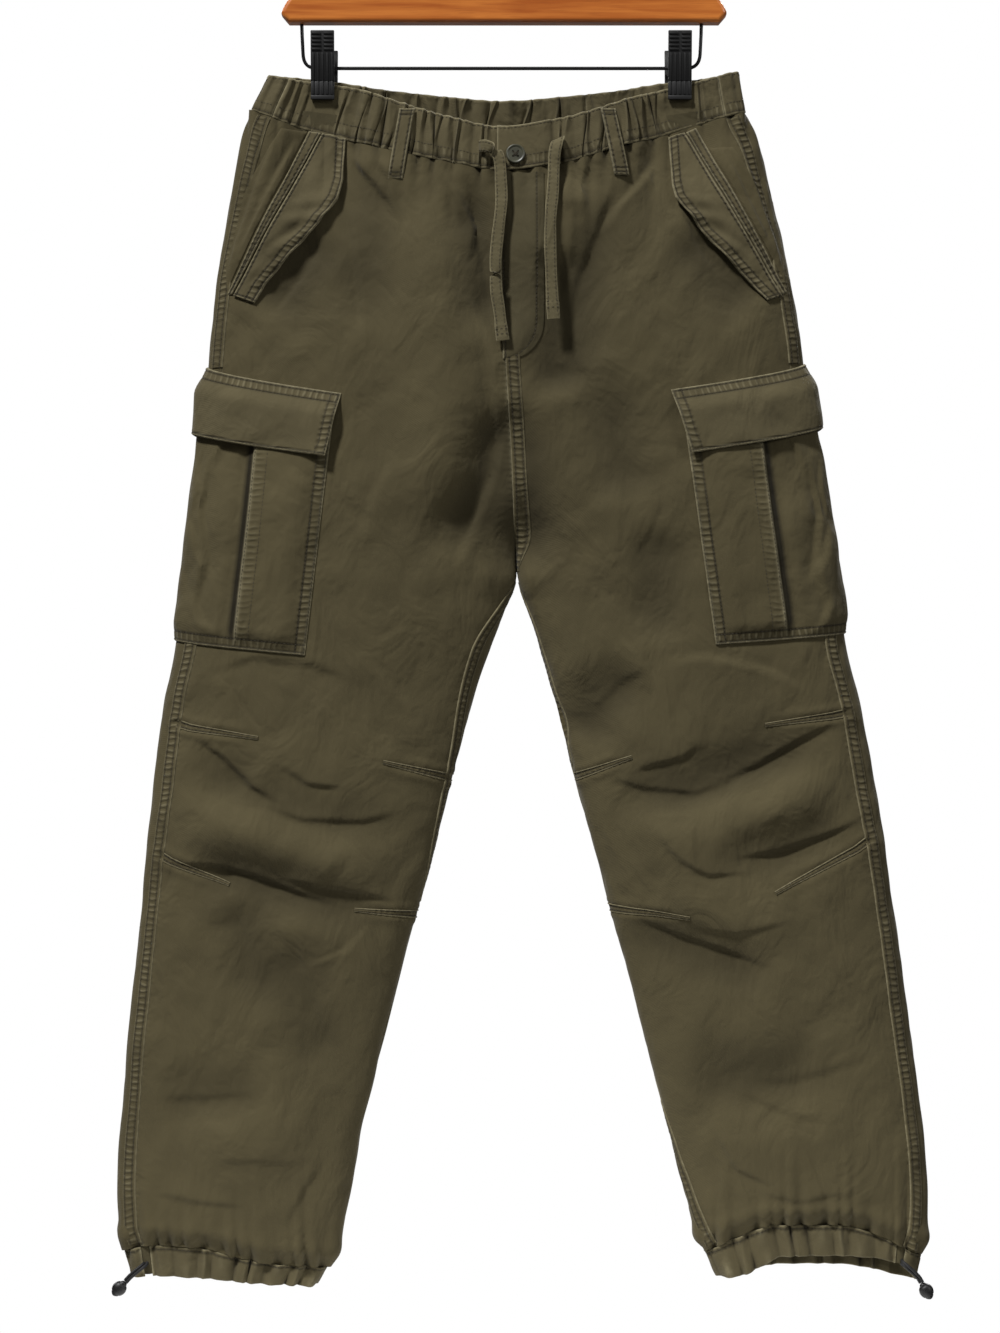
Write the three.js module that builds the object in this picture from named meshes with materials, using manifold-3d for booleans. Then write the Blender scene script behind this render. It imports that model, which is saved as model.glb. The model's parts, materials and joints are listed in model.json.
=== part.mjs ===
// Cargo pants hung from a clip hanger, in millimetres.
// +X is the viewer's right, +Y points away from the viewer, +Z is up. The origin is where a rail bears
// inside the hanger's hook, and a "drop" is a distance below it. Left and right are the viewer's.
import * as THREE from 'three';
import Module from 'manifold-3d';
import { mergeVertices } from 'three/addons/utils/BufferGeometryUtils.js';

const wasm = await Module();
wasm.setup();

// Cloth
const clothWall = 1.6;
const bandWall = 2.4;
const casingWall = 2;
const layWall = 1.4;
const layLift = 0.95;
const seamGap = 0.3;
const bandSeamGap = 0.7;
const casingSeamGap = 0.9;

// Heights at the side of the body, before the waist and hem curves are added
const waistTop = 152;
const waistSeam = 188;
const riseStart = 455;
const crotch = 583;
const hemSeam = 1150;
const hemEnd = 1178;
const waistReach = 150;
const hemReach = 110;

// Cross-section: fullness under 1 makes it fuller than an ellipse, and riseShape says how late the seat
// closes into two legs
const fullness = 0.8;
const riseShape = 1.4;
const bandHalf = { left: 219, right: 212 };
const pinchHalf = 3;
const pinchWidth = 36;
const pinchTo = 186;
const pinchFades = 330;

// Hanger
const clipXs = { left: -153.8, right: 149.1 };
const barHalf = 188.7;
const barBottom = 115;
const wireDrop = 152.8;
const wireRadius = 1.5;
const wireEnds = { left: -170.8, right: 166.6 };
const hookRadius = 20;
const hookWire = 4;

// Outer and inner edges of both legs, how far front and back stand from the hanging plane, and how far
// inside the edge the seams run. Above the crotch the inner edges are the centre seam.
const outline = [
  { drop: 152, outLeft: -201, inLeft: 0, inRight: 0, outRight: 200, front: 22, back: 13 },
  { drop: 188, outLeft: -216.5, inLeft: 0, inRight: 0, outRight: 207, front: 25, back: 16 },
  { drop: 222, outLeft: -224.4, inLeft: 0, inRight: 0, outRight: 218.4, front: 29, back: 20 },
  { drop: 265, outLeft: -232.9, inLeft: 0, inRight: 0, outRight: 228.6, front: 33, back: 26 },
  { drop: 307, outLeft: -240.6, inLeft: 0, inRight: 0, outRight: 238.8, front: 36, back: 31 },
  { drop: 350, outLeft: -246, inLeft: 0, inRight: 0, outRight: 246.5, front: 38, back: 35 },
  { drop: 392, outLeft: -249.9, inLeft: 1, inRight: 1, outRight: 253.3, front: 39, back: 38 },
  { drop: 477, outLeft: -257, inLeft: 6, inRight: 6, outRight: 264, front: 39, back: 39 },
  { drop: 562, outLeft: -268, inLeft: 10, inRight: 10, outRight: 279, front: 37, back: 37 },
  { drop: 583, outLeft: -271, inLeft: 10.6, inRight: 11.4, outRight: 282, front: 37, back: 36 },
  { drop: 605, outLeft: -273.5, inLeft: 3, inRight: 19.1, outRight: 285.5, front: 36, back: 36 },
  { drop: 647, outLeft: -279, inLeft: -12.8, inRight: 32.3, outRight: 291, front: 36, back: 35 },
  { drop: 690, outLeft: -289, inLeft: -26.3, inRight: 44.2, outRight: 302.6, front: 35, back: 34 },
  { drop: 775, outLeft: -299.2, inLeft: -49.3, inRight: 66.3, outRight: 317.1, front: 35, back: 32 },
  { drop: 860, outLeft: -307.7, inLeft: -71.4, inRight: 88.4, outRight: 329.8, front: 33, back: 31 },
  { drop: 945, outLeft: -316.2, inLeft: -94.4, inRight: 111.3, outRight: 341.3, front: 31, back: 30 },
  { drop: 1030, outLeft: -323.8, inLeft: -114.8, inRight: 133.4, outRight: 352.8, front: 29, back: 28 },
  { drop: 1105, outLeft: -328, inLeft: -132.5, inRight: 154, outRight: 360, front: 28, back: 26 },
  { drop: 1132, outLeft: -327.5, inLeft: -140, inRight: 162, outRight: 359, front: 26, back: 25 },
  { drop: 1150, outLeft: -323, inLeft: -147, inRight: 169, outRight: 355, front: 20, back: 20 },
  { drop: 1178, outLeft: -318, inLeft: -157, inRight: 180, outRight: 352, front: 18, back: 18 },
];

// Distance of the outseam and of both inseams inside the edge, on the front. Below zero is on the back.
const seamInsets = [
  { drop: 152, outseam: 20, inseamLeft: 0, inseamRight: 0 },
  { drop: 350, outseam: 13, inseamLeft: 0, inseamRight: 0 },
  { drop: 583, outseam: 17, inseamLeft: 0, inseamRight: 0 },
  { drop: 647, outseam: 19, inseamLeft: 14, inseamRight: 1 },
  { drop: 745, outseam: 19, inseamLeft: 6, inseamRight: 0 },
  { drop: 860, outseam: 16, inseamLeft: 0, inseamRight: -3 },
  { drop: 1030, outseam: 16, inseamLeft: -4, inseamRight: 0 },
  { drop: 1150, outseam: 17, inseamLeft: -5, inseamRight: 11 },
  { drop: 1178, outseam: 18, inseamLeft: -5, inseamRight: 12 },
];

// Drops of the waistband's edges, which hang lower between the clips. across is -1 to 1 over the width.
const waistSag = [
  { across: -1, frontTop: 155.8, frontSeam: 188, backTop: 155.8, backSeam: 188 },
  { across: -0.82, frontTop: 162.6, frontSeam: 203, backTop: 160, backSeam: 196 },
  { across: -0.62, frontTop: 168.5, frontSeam: 215, backTop: 165, backSeam: 202 },
  { across: -0.42, frontTop: 183.5, frontSeam: 227.5, backTop: 170, backSeam: 208 },
  { across: -0.22, frontTop: 196.6, frontSeam: 236.5, backTop: 174.5, backSeam: 212.5 },
  { across: 0, frontTop: 206, frontSeam: 244, backTop: 178, backSeam: 215 },
  { across: 0.23, frontTop: 198.3, frontSeam: 238, backTop: 174.5, backSeam: 212.5 },
  { across: 0.4, frontTop: 188, frontSeam: 227, backTop: 171, backSeam: 208 },
  { across: 0.6, frontTop: 173.6, frontSeam: 214, backTop: 166, backSeam: 203 },
  { across: 0.77, frontTop: 164.5, frontSeam: 202.5, backTop: 162, backSeam: 198 },
  { across: 1, frontTop: 152.4, frontSeam: 190, backTop: 152.4, backSeam: 190 },
];

// Drops of the hem casings' edges. across is 0 at the inner edge of the leg and 1 at the outer one.
const hemSag = {
  left: [
    { across: 0, frontTop: 1171, frontEnd: 1187, backTop: 1171, backEnd: 1187 },
    { across: 0.39, frontTop: 1162, frontEnd: 1180, backTop: 1166, backEnd: 1188 },
    { across: 0.62, frontTop: 1152, frontEnd: 1174, backTop: 1161, backEnd: 1186 },
    { across: 0.85, frontTop: 1150, frontEnd: 1174, backTop: 1157, backEnd: 1184 },
    { across: 1, frontTop: 1156, frontEnd: 1180, backTop: 1156, backEnd: 1180 },
  ],
  right: [
    { across: 0, frontTop: 1158, frontEnd: 1180, backTop: 1158, backEnd: 1180 },
    { across: 0.12, frontTop: 1146, frontEnd: 1177, backTop: 1153, backEnd: 1178 },
    { across: 0.33, frontTop: 1132, frontEnd: 1160, backTop: 1148, backEnd: 1172 },
    { across: 0.6, frontTop: 1132, frontEnd: 1159, backTop: 1148, backEnd: 1172 },
    { across: 0.8, frontTop: 1142, frontEnd: 1162, backTop: 1152, backEnd: 1176 },
    { across: 0.9, frontTop: 1152, frontEnd: 1168, backTop: 1156, backEnd: 1180 },
    { across: 1, frontTop: 1160, frontEnd: 1182, backTop: 1160, backEnd: 1182 },
  ],
};

// The largest folds: troughs (depth above 0) and ridges (below 0) along paths of [x, drop]
const folds = {
  front: [
    { width: 26, depth: 4, path: [[-108, 235], [-112, 300], [-117, 390]] },
    { width: 22, depth: 7, path: [[-37, 245], [-22, 320], [-8, 395]] },
    { width: 34, depth: -5, path: [[-66, 245], [-50, 340], [-48, 470], [-56, 560]] },
    { width: 22, depth: 7, path: [[0, 430], [-18, 505], [-46, 575]] },
    { width: 26, depth: 6, path: [[88, 245], [62, 330], [48, 410], [52, 440]] },
    { width: 28, depth: -4, path: [[52, 245], [48, 290], [44, 330]] },
    { width: 26, depth: 5, path: [[-146, 290], [-176, 330], [-205, 372]] },
    { width: 26, depth: 5, path: [[148, 285], [182, 330], [216, 365]] },
    { width: 26, depth: 4, path: [[80, 404], [97, 480], [104, 530]] },
    { width: 24, depth: 6, path: [[13, 437], [16, 520], [26, 590]] },
    { width: 24, depth: 4, path: [[131, 540], [130, 590], [124, 650]] },
    { width: 26, depth: 5, path: [[-255, 725], [-222, 773], [-146, 798], [-80, 790]] },
    { width: 34, depth: -7, path: [[-285, 800], [-226, 800], [-160, 822], [-85, 845]] },
    { width: 22, depth: 8, path: [[-275, 830], [-226, 832], [-160, 852], [-88, 872]] },
    { width: 22, depth: 4, path: [[-225, 850], [-212, 895], [-207, 960]] },
    { width: 24, depth: 4, path: [[-180, 880], [-168, 940], [-146, 1020]] },
    { width: 26, depth: 3, path: [[-298, 1030], [-245, 1022], [-190, 1018]] },
    { width: 26, depth: -3, path: [[-280, 1062], [-220, 1060], [-150, 1050]] },
    { width: 24, depth: 5, path: [[60, 735], [78, 690], [120, 664]] },
    { width: 26, depth: 6, path: [[80, 762], [148, 768], [215, 746], [285, 722]] },
    { width: 32, depth: -6, path: [[90, 800], [160, 806], [225, 782], [300, 755]] },
    { width: 24, depth: 5, path: [[175, 822], [235, 812], [298, 782]] },
    { width: 26, depth: 6, path: [[100, 872], [165, 898], [240, 922]] },
    { width: 30, depth: -5, path: [[120, 850], [180, 872], [250, 893]] },
    { width: 28, depth: 4, path: [[140, 1003], [206, 1012], [285, 990]] },
    { width: 28, depth: -3, path: [[160, 1050], [230, 1058], [310, 1040]] },
  ],
  back: [
    { width: 30, depth: 5, path: [[-95, 220], [-88, 320], [-60, 420]] },
    { width: 30, depth: 5, path: [[90, 220], [84, 320], [58, 420]] },
    { width: 34, depth: -5, path: [[-40, 240], [-52, 380], [-70, 500]] },
    { width: 34, depth: -5, path: [[42, 240], [54, 380], [74, 500]] },
    { width: 26, depth: 7, path: [[-4, 500], [-50, 555], [-120, 590]] },
    { width: 26, depth: 7, path: [[12, 500], [60, 552], [132, 585]] },
    { width: 28, depth: 6, path: [[-90, 660], [-150, 690], [-225, 700]] },
    { width: 28, depth: 6, path: [[100, 655], [160, 690], [240, 696]] },
    { width: 32, depth: -6, path: [[-80, 735], [-160, 750], [-250, 738]] },
    { width: 32, depth: -6, path: [[88, 735], [170, 748], [262, 735]] },
    { width: 26, depth: 7, path: [[-85, 790], [-165, 806], [-262, 780]] },
    { width: 26, depth: 7, path: [[92, 786], [180, 806], [275, 776]] },
    { width: 28, depth: 5, path: [[-110, 880], [-190, 900], [-265, 930]] },
    { width: 28, depth: 5, path: [[130, 875], [205, 905], [290, 935]] },
    { width: 28, depth: 4, path: [[-150, 1010], [-215, 1030], [-285, 1015]] },
    { width: 28, depth: 4, path: [[160, 1015], [240, 1028], [310, 1008]] },
  ],
};
const foldTaper = 0.3;

// Grids and gathers
const panelRows = 34;
const frontColumns = 14;
const backColumns = 12;
const bandGathers = { front: 24, back: 40 };
const gatherHeight = 1.2;
const gatherSink = 0.8;
const hemGathers = 22;
const hemGatherHeight = 1.5;
const hemSlit = 4;
const tabEnd = 33.5;
const tabOverlap = 6;
const tabFade = 22;

// Hand pockets: the sewn and the free edge of each strip, as [x, drop]
const handPockets = {
  left: {
    flap: {
      sewn: [[-154, 209], [-191, 279], [-228, 348.6]],
      free: [[-133.6, 213.8], [-135, 251.5], [-139.5, 268.4], [-154.4, 288.7], [-178, 312.3],
        [-201.7, 339.7], [-210.1, 355.3]],
    },
    welt: {
      sewn: [[-165.6, 207], [-199.5, 278], [-233.4, 347]],
      free: [[-155.4, 209], [-192.4, 279], [-229.4, 347.5]],
    },
    facing: {
      sewn: [[-189, 206], [-222, 262], [-236, 322]],
      free: [[-167, 207], [-198, 271.5], [-234, 344]],
    },
  },
  right: {
    flap: {
      sewn: [[153, 208], [193, 278], [234, 348.1]],
      free: [[139.3, 212.6], [141.2, 257.5], [143.9, 268.4], [166.8, 295.8], [190.6, 319.6],
        [212.6, 343.5], [221.3, 352.8]],
    },
    welt: {
      sewn: [[163, 204.5], [200, 273], [239, 345]],
      free: [[154.4, 208], [194.4, 278], [235.4, 347]],
    },
    facing: {
      sewn: [[193, 222], [219, 262], [238, 319]],
      free: [[174, 223], [201.4, 272.5], [239, 341]],
    },
  },
};

// Cargo pockets: X of the front end of each edge. The drops are at the side of the leg and grow by the
// slant towards the front and back ends.
const cargo = {
  left: {
    flapTop: { frontX: -136.5, drop: 407, slant: 25 },
    flapEnd: { frontX: -148.7, drop: 465, slant: 21 },
    pocketTop: { frontX: -143, drop: 428, slant: 23 },
    pocketEnd: { frontX: -166.7, drop: 639, slant: 13 },
  },
  right: {
    flapTop: { frontX: 139.8, drop: 404, slant: 25 },
    flapEnd: { frontX: 156.6, drop: 460, slant: 23 },
    pocketTop: { frontX: 150, drop: 424, slant: 23 },
    pocketEnd: { frontX: 177.3, drop: 633, slant: 10 },
  },
};
const cargoBackWidth = 88;
const cargoWall = 2.2;
const cargoHollow = 2.9;
const pleatStep = 1.8;
const slantShape = 1.3;
const flapWall = 2;
const flapStand = 1.6;

// Belt loops: X at the top and the bottom on the front or back
const beltLoops = [
  { name: 'belt_loop_front_left', face: 'front', x: [-81.6, -91.7], drop: [191, 252], width: 13 },
  { name: 'belt_loop_front_right', face: 'front', x: [82.4, 100.5], drop: [191, 248], width: 12 },
  { name: 'belt_loop_back_left', face: 'back', x: [-97, -102], drop: [172, 234], width: 13 },
  { name: 'belt_loop_back_middle', face: 'back', x: [0.5, 0.5], drop: [182, 240], width: 13 },
  { name: 'belt_loop_back_right', face: 'back', x: [97, 102], drop: [172, 234], width: 13 },
];
const loopWall = 2;
const loopRows = 6;
const loopLift = 0.55;
const loopBow = 1.9;

// Fly front and button: X of the fly's left edge at its top and end, and of its stitched right edge
const flyTop = 246;
const flyEnd = 404;
const flyLeft = [-5, -1];
const flyTip = 3;
const flyRight = 33.5;
const flyRound = 34;
const button = { x: 9.6, drop: 230.6, radius: 8.2, thickness: 2.6, hole: 1, holeOffset: 2 };

// Flat drawstrings: centre line as [x, y, drop], and the turn of the tape about it in degrees
const tapeWidth = 10;
const tapeThickness = 1.8;
const tapes = {
  left: [
    { x: -20.6, y: -23.9, drop: 223.6, turn: 88 },
    { x: -18.8, y: -28.2, drop: 223.8, turn: 84 },
    { x: -14.4, y: -32, drop: 224.8, turn: 76 },
    { x: -8.6, y: -34.8, drop: 228, turn: 50 },
    { x: -4.6, y: -35.8, drop: 234, turn: 22 },
    { x: -3.2, y: -36.2, drop: 243, turn: 5 },
    { x: -2.6, y: -38, drop: 256, turn: 0 },
    { x: -2.2, y: -40, drop: 272, turn: 0 },
    { x: -4, y: -41.6, drop: 290, turn: -3 },
    { x: -5.8, y: -42.6, drop: 306, turn: -6 },
    { x: -7, y: -43.4, drop: 320, turn: -4 },
    { x: -7, y: -44, drop: 334, turn: 0 },
    { x: -6.4, y: -44.6, drop: 348, turn: 4 },
    { x: -4, y: -45, drop: 364, turn: 8 },
    { x: -2.4, y: -45.2, drop: 378, turn: 8 },
    { x: -1, y: -45.2, drop: 389, turn: 8 },
  ],
  right: [
    { x: 46, y: -25.9, drop: 217.5, turn: -30 },
    { x: 46, y: -30, drop: 218.4, turn: -26 },
    { x: 44.2, y: -33, drop: 222.4, turn: -20 },
    { x: 42.6, y: -34.6, drop: 229.4, turn: -8 },
    { x: 41.8, y: -35.4, drop: 240, turn: 0 },
    { x: 41.4, y: -37, drop: 252, turn: 6 },
    { x: 40.6, y: -39, drop: 266, turn: 6 },
    { x: 39.2, y: -40.6, drop: 280, turn: 4 },
    { x: 38.6, y: -41.6, drop: 294, turn: 2 },
    { x: 38.6, y: -42.6, drop: 309, turn: 0 },
    { x: 39, y: -43.2, drop: 324, turn: -3 },
    { x: 39.6, y: -43.8, drop: 340, turn: -3 },
    { x: 40.4, y: -44.2, drop: 356, turn: -2 },
    { x: 41.4, y: -44.4, drop: 371, turn: -2 },
  ],
};

// Elastic cord of each hem, from the casing to its cord lock, as [x, y, drop]
const hemCordWidth = 2.8;
const hemCords = {
  left: [[-303, -3, 1165], [-303, -8, 1165.5], [-303.6, -12, 1166.5], [-306.4, -14.8, 1168.6],
    [-311, -14.8, 1172.4], [-316, -13.4, 1176.8], [-320, -12, 1181.2]],
  right: [[336, -3, 1164.4], [336.4, -8, 1165], [337.6, -12.6, 1166], [341.4, -14.8, 1169],
    [346, -14.4, 1173], [350.2, -13, 1177.4], [353, -12, 1182]],
};
const cordLock = { long: 17, wide: 12, thick: 9 };

const cloth = { color: '#4d4733', roughness: 0.9, metalness: 0 };
const clothWorn = { color: '#57513b', roughness: 0.9, metalness: 0 };
const clothDark = { color: '#433d2b', roughness: 0.9, metalness: 0 };
const tape = { color: '#5b553e', roughness: 0.85, metalness: 0 };
const buttonResin = { color: '#38382c', roughness: 0.4, metalness: 0 };
const wood = { color: '#b7672a', roughness: 0.35, metalness: 0 };
const steel = { color: '#b9bcc0', roughness: 0.25, metalness: 1 };
const blackWire = { color: '#26282a', roughness: 0.4, metalness: 0.6 };
const blackPlastic = { color: '#242527', roughness: 0.45, metalness: 0 };

const group = new THREE.Group();

function add(name, geometry, finish) {
  const mesh = new THREE.Mesh(geometry, new THREE.MeshStandardMaterial(finish));
  mesh.name = name;
  group.add(mesh);
}

function mix(a, b, share) {
  return a + (b - a) * share;
}

function smooth(value) {
  const share = Math.min(1, Math.max(0, value));
  return share * share * (3 - 2 * share);
}

// Value of a table's column, on a curve that never overshoots its rows
function along(table, key, column, value) {
  const last = table.length - 1;
  let row = 0;
  while (row < last - 1 && table[row + 1][key] < value) row += 1;
  const step = (j) => table[j + 1][key] - table[j][key];
  const slope = (j) => (table[j + 1][column] - table[j][column]) / step(j);
  const tangent = (j) => {
    if (j === 0) return slope(0);
    if (j === last) return slope(last - 1);
    const before = slope(j - 1);
    const after = slope(j);
    return before * after > 0 ? (2 * before * after) / (before + after) : 0;
  };
  const t = Math.min(1.2, Math.max(-0.2, (value - table[row][key]) / step(row)));
  const h = step(row);
  return (2 * t ** 3 - 3 * t ** 2 + 1) * table[row][column]
    + (t ** 3 - 2 * t ** 2 + t) * h * tangent(row)
    + (3 * t ** 2 - 2 * t ** 3) * table[row + 1][column]
    + (t ** 3 - t ** 2) * h * tangent(row + 1);
}

// Point on a path of [x, drop], at a share of its length
function onPath(path, share) {
  const lengths = path.slice(1).map((p, i) => Math.hypot(p[0] - path[i][0], p[1] - path[i][1]));
  let rest = share * lengths.reduce((sum, length) => sum + length, 0);
  for (let i = 0; i < lengths.length; i += 1) {
    if (rest <= lengths[i] || i === lengths.length - 1) {
      const t = rest / lengths[i];
      return [mix(path[i][0], path[i + 1][0], t), mix(path[i][1], path[i + 1][1], t)];
    }
    rest -= lengths[i];
  }
  return path[0];
}

// The cloth's surface. A turn is 0 at the inner edge of a leg or at the front centre seam, 1 at the outer
// edge, and 2 back at the inner edge or the back centre seam.
function ring(side, height) {
  const end = side === 'left' ? 'Left' : 'Right';
  const rise = smooth((height - riseStart) / (crotch - riseStart)) ** riseShape;
  return {
    inX: along(outline, 'drop', `in${end}`, height),
    outX: along(outline, 'drop', `out${end}`, height),
    front: along(outline, 'drop', 'front', height),
    back: along(outline, 'drop', 'back', height),
    start: ((1 - rise) * Math.PI) / 2,
  };
}

function turnAt(side, height, x) {
  const r = ring(side, height);
  const share = (x - r.inX) / (r.outX - r.inX);
  const cosine = Math.cos(r.start) - share * (Math.cos(r.start) + 1);
  const angle = Math.acos(Math.min(1, Math.max(-1, cosine)));
  return (angle - r.start) / (Math.PI - r.start);
}

function dropAt(side, x, face, height) {
  const across = Math.min(1, Math.max(-1, x / bandHalf[side]));
  const waistEdge = (edge) => along(waistSag, 'across', face + edge, across);
  if (height <= waistSeam) {
    return mix(waistEdge('Top'), waistEdge('Seam'), (height - waistTop) / (waistSeam - waistTop));
  }
  const r = ring(side, height);
  const legShare = Math.min(1, Math.max(0, (x - r.inX) / (r.outX - r.inX)));
  const hemEdge = (edge) => along(hemSag[side], 'across', face + edge, legShare);
  if (height >= hemSeam) {
    return mix(hemEdge('Top'), hemEdge('End'), (height - hemSeam) / (hemEnd - hemSeam));
  }
  const waistShare = 1 - smooth((height - waistSeam) / waistReach);
  const hemShare = 1 - smooth((hemSeam - height) / hemReach);
  return height + (waistEdge('Seam') - waistSeam) * waistShare + (hemEdge('Top') - hemSeam) * hemShare;
}

// How much the clips press the cloth flat, 0 to 1
function pinch(x, drop) {
  const nearness = (clip) => Math.exp(-(((x - clip) / pinchWidth) ** 4));
  const near = Math.max(nearness(clipXs.left), nearness(clipXs.right));
  return near * (1 - smooth((drop - pinchTo) / (pinchFades - pinchTo)));
}

function basePoint(side, turn, height) {
  const r = ring(side, height);
  const angle = r.start + turn * (Math.PI - r.start);
  const share = (Math.cos(r.start) - Math.cos(angle)) / (Math.cos(r.start) + 1);
  const x = mix(r.inX, r.outX, share);
  const face = Math.sin(angle) >= 0 ? 'front' : 'back';
  const drop = dropAt(side, x, face, height);
  const full = r[face] * Math.abs(Math.sin(angle)) ** fullness;
  const flat = Math.min(full, pinchHalf);
  const y = mix(full, flat, pinch(x, drop));
  return { point: new THREE.Vector3(x, face === 'front' ? -y : y, -drop), face };
}

function foldDepth(face, x, drop) {
  let total = 0;
  for (const fold of folds[face]) {
    let best = Infinity;
    let bestAlong = 0;
    for (let i = 0; i < fold.path.length - 1; i += 1) {
      const [ax, ad] = fold.path[i];
      const [bx, bd] = fold.path[i + 1];
      const length2 = (bx - ax) ** 2 + (bd - ad) ** 2;
      const t = Math.min(1, Math.max(0, ((x - ax) * (bx - ax) + (drop - ad) * (bd - ad)) / length2));
      const away = Math.hypot(x - mix(ax, bx, t), drop - mix(ad, bd, t));
      if (away < best) {
        best = away;
        bestAlong = (i + t) / (fold.path.length - 1);
      }
    }
    const ends = smooth(bestAlong / foldTaper) * smooth((1 - bestAlong) / foldTaper);
    total += fold.depth * ends * Math.exp(-((best / fold.width) ** 2));
  }
  return total;
}

// Point of the cloth with its folds, lifted outward by a distance
function surface(side, turn, height, lift = 0) {
  const turnStep = 0.004;
  const heightStep = 1;
  const { point, face } = basePoint(side, turn, height);
  const acrossCloth = basePoint(side, turn + turnStep, height).point
    .sub(basePoint(side, turn - turnStep, height).point);
  const downCloth = basePoint(side, turn, height + heightStep).point
    .sub(basePoint(side, turn, height - heightStep).point);
  const normal = acrossCloth.cross(downCloth).normalize().multiplyScalar(side === 'left' ? 1 : -1);
  return point.addScaledVector(normal, lift - foldDepth(face, point.x, -point.z));
}

function heightAt(side, x, face, drop) {
  const tries = 12;
  const stepShare = 0.8;
  let height = drop;
  for (let i = 0; i < tries; i += 1) height += stepShare * (drop - dropAt(side, x, face, height));
  return height;
}

// Point over the cloth at a given X and drop on the front or back
function over(face, x, drop, lift) {
  const side = x < ring('left', drop).inX ? 'left' : 'right';
  const height = heightAt(side, x, face, drop);
  const turn = turnAt(side, height, x);
  return surface(side, face === 'front' ? turn : 2 - turn, height, lift);
}

function seamTurn(side, height) {
  const r = ring(side, height);
  const inset = along(seamInsets, 'drop', 'outseam', height);
  return turnAt(side, height, r.outX + Math.sign(r.inX - r.outX) * inset);
}

function inseamTurn(side, height) {
  if (height <= crotch) return 0;
  const r = ring(side, height);
  const inset = along(seamInsets, 'drop', side === 'left' ? 'inseamLeft' : 'inseamRight', height);
  const turn = turnAt(side, height, r.inX + Math.sign(r.outX - r.inX) * Math.abs(inset));
  return Math.sign(inset) * turn;
}

// Half the gap at a seam, as a turn of a ring that is a little longer than it is wide
function hairline(side, height) {
  const r = ring(side, height);
  const lengthToWidth = 1.3;
  return seamGap / (lengthToWidth * Math.abs(r.outX - r.inX));
}

// Closed body from points and faces, its faces turned outward
function closedBody(points, faces) {
  const geometry = new THREE.BufferGeometry().setFromPoints(points);
  let volume = 0;
  const cross = new THREE.Vector3();
  for (let i = 0; i < faces.length; i += 3) {
    cross.crossVectors(points[faces[i + 1]], points[faces[i + 2]]);
    volume += points[faces[i]].dot(cross);
  }
  geometry.setIndex(volume < 0 ? faces.reverse() : faces);
  geometry.computeVertexNormals();
  return geometry;
}

// Closed wall between two grids of points with the same rows and columns
function wallBetween(outer, inner) {
  const rows = outer.length;
  const columns = outer[0].length;
  const points = [...outer.flat(), ...inner.flat()];
  const at = (layer, row, column) => (layer * rows + row) * columns + column;
  const faces = [];
  const quad = (a, b, c, d) => faces.push(a, b, c, a, c, d);
  for (let r = 0; r < rows - 1; r += 1) {
    for (let c = 0; c < columns - 1; c += 1) {
      quad(at(0, r, c), at(0, r + 1, c), at(0, r + 1, c + 1), at(0, r, c + 1));
      quad(at(1, r, c), at(1, r, c + 1), at(1, r + 1, c + 1), at(1, r + 1, c));
    }
    quad(at(0, r, 0), at(1, r, 0), at(1, r + 1, 0), at(0, r + 1, 0));
    const end = columns - 1;
    quad(at(0, r, end), at(0, r + 1, end), at(1, r + 1, end), at(1, r, end));
  }
  for (let c = 0; c < columns - 1; c += 1) {
    quad(at(0, 0, c), at(0, 0, c + 1), at(1, 0, c + 1), at(1, 0, c));
    quad(at(0, rows - 1, c), at(1, rows - 1, c), at(1, rows - 1, c + 1), at(0, rows - 1, c + 1));
  }
  return closedBody(points, faces);
}

// Closed wall over rows and columns: place(row, column) gives side, turn, height and the inner face's lift,
// and extra where the wall is thicker
function clothWallBody(rows, columns, wall, place) {
  const layer = (outside) => rows.map((row) => columns.map((column) => {
    const p = place(row, column);
    return surface(p.side, p.turn, p.height, p.lift + outside * (wall + (p.extra ?? 0)));
  }));
  return wallBetween(layer(1), layer(0));
}

function shares(count) {
  return Array.from({ length: count + 1 }, (_, i) => i / count);
}

// Bar along its centre line: frames give the centre and the directions of its width and thickness. A
// squareness of 1 makes it round, and a lower one flattens its faces.
function sweep(frames, width, thickness, sides, squareness) {
  const points = [];
  const faces = [];
  for (const { centre, across, out } of frames) {
    for (let i = 0; i < sides; i += 1) {
      const angle = (i / sides) * 2 * Math.PI;
      const side = Math.sign(Math.cos(angle)) * Math.abs(Math.cos(angle)) ** squareness;
      points.push(centre.clone()
        .addScaledVector(across, (width / 2) * side)
        .addScaledVector(out, (thickness / 2) * Math.sin(angle)));
    }
  }
  for (let s = 0; s < frames.length - 1; s += 1) {
    for (let i = 0; i < sides; i += 1) {
      const a = s * sides + i;
      const b = s * sides + ((i + 1) % sides);
      faces.push(a, a + sides, b + sides, a, b + sides, b);
    }
  }
  const last = (frames.length - 1) * sides;
  for (let i = 1; i < sides - 1; i += 1) {
    faces.push(0, i, i + 1);
    faces.push(last, last + i + 1, last + i);
  }
  return closedBody(points, faces);
}

function closedCopy(geometry) {
  const copy = geometry.clone();
  copy.deleteAttribute('normal');
  copy.deleteAttribute('uv');
  return mergeVertices(copy, 1e-4);
}

function roundBar(curve, radius, steps, sides) {
  const section = new THREE.Shape();
  for (let i = 0; i < sides; i += 1) {
    const angle = (i / sides) * 2 * Math.PI;
    const place = [radius * Math.cos(angle), radius * Math.sin(angle)];
    if (i === 0) section.moveTo(...place);
    else section.lineTo(...place);
  }
  section.closePath();
  const geometry = closedCopy(new THREE.ExtrudeGeometry(section, { steps, extrudePath: curve }));
  const position = geometry.getAttribute('position');
  const points = Array.from({ length: position.count }, (_, i) => (
    new THREE.Vector3().fromBufferAttribute(position, i)));
  return closedBody(points, Array.from(geometry.index.array));
}

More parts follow.
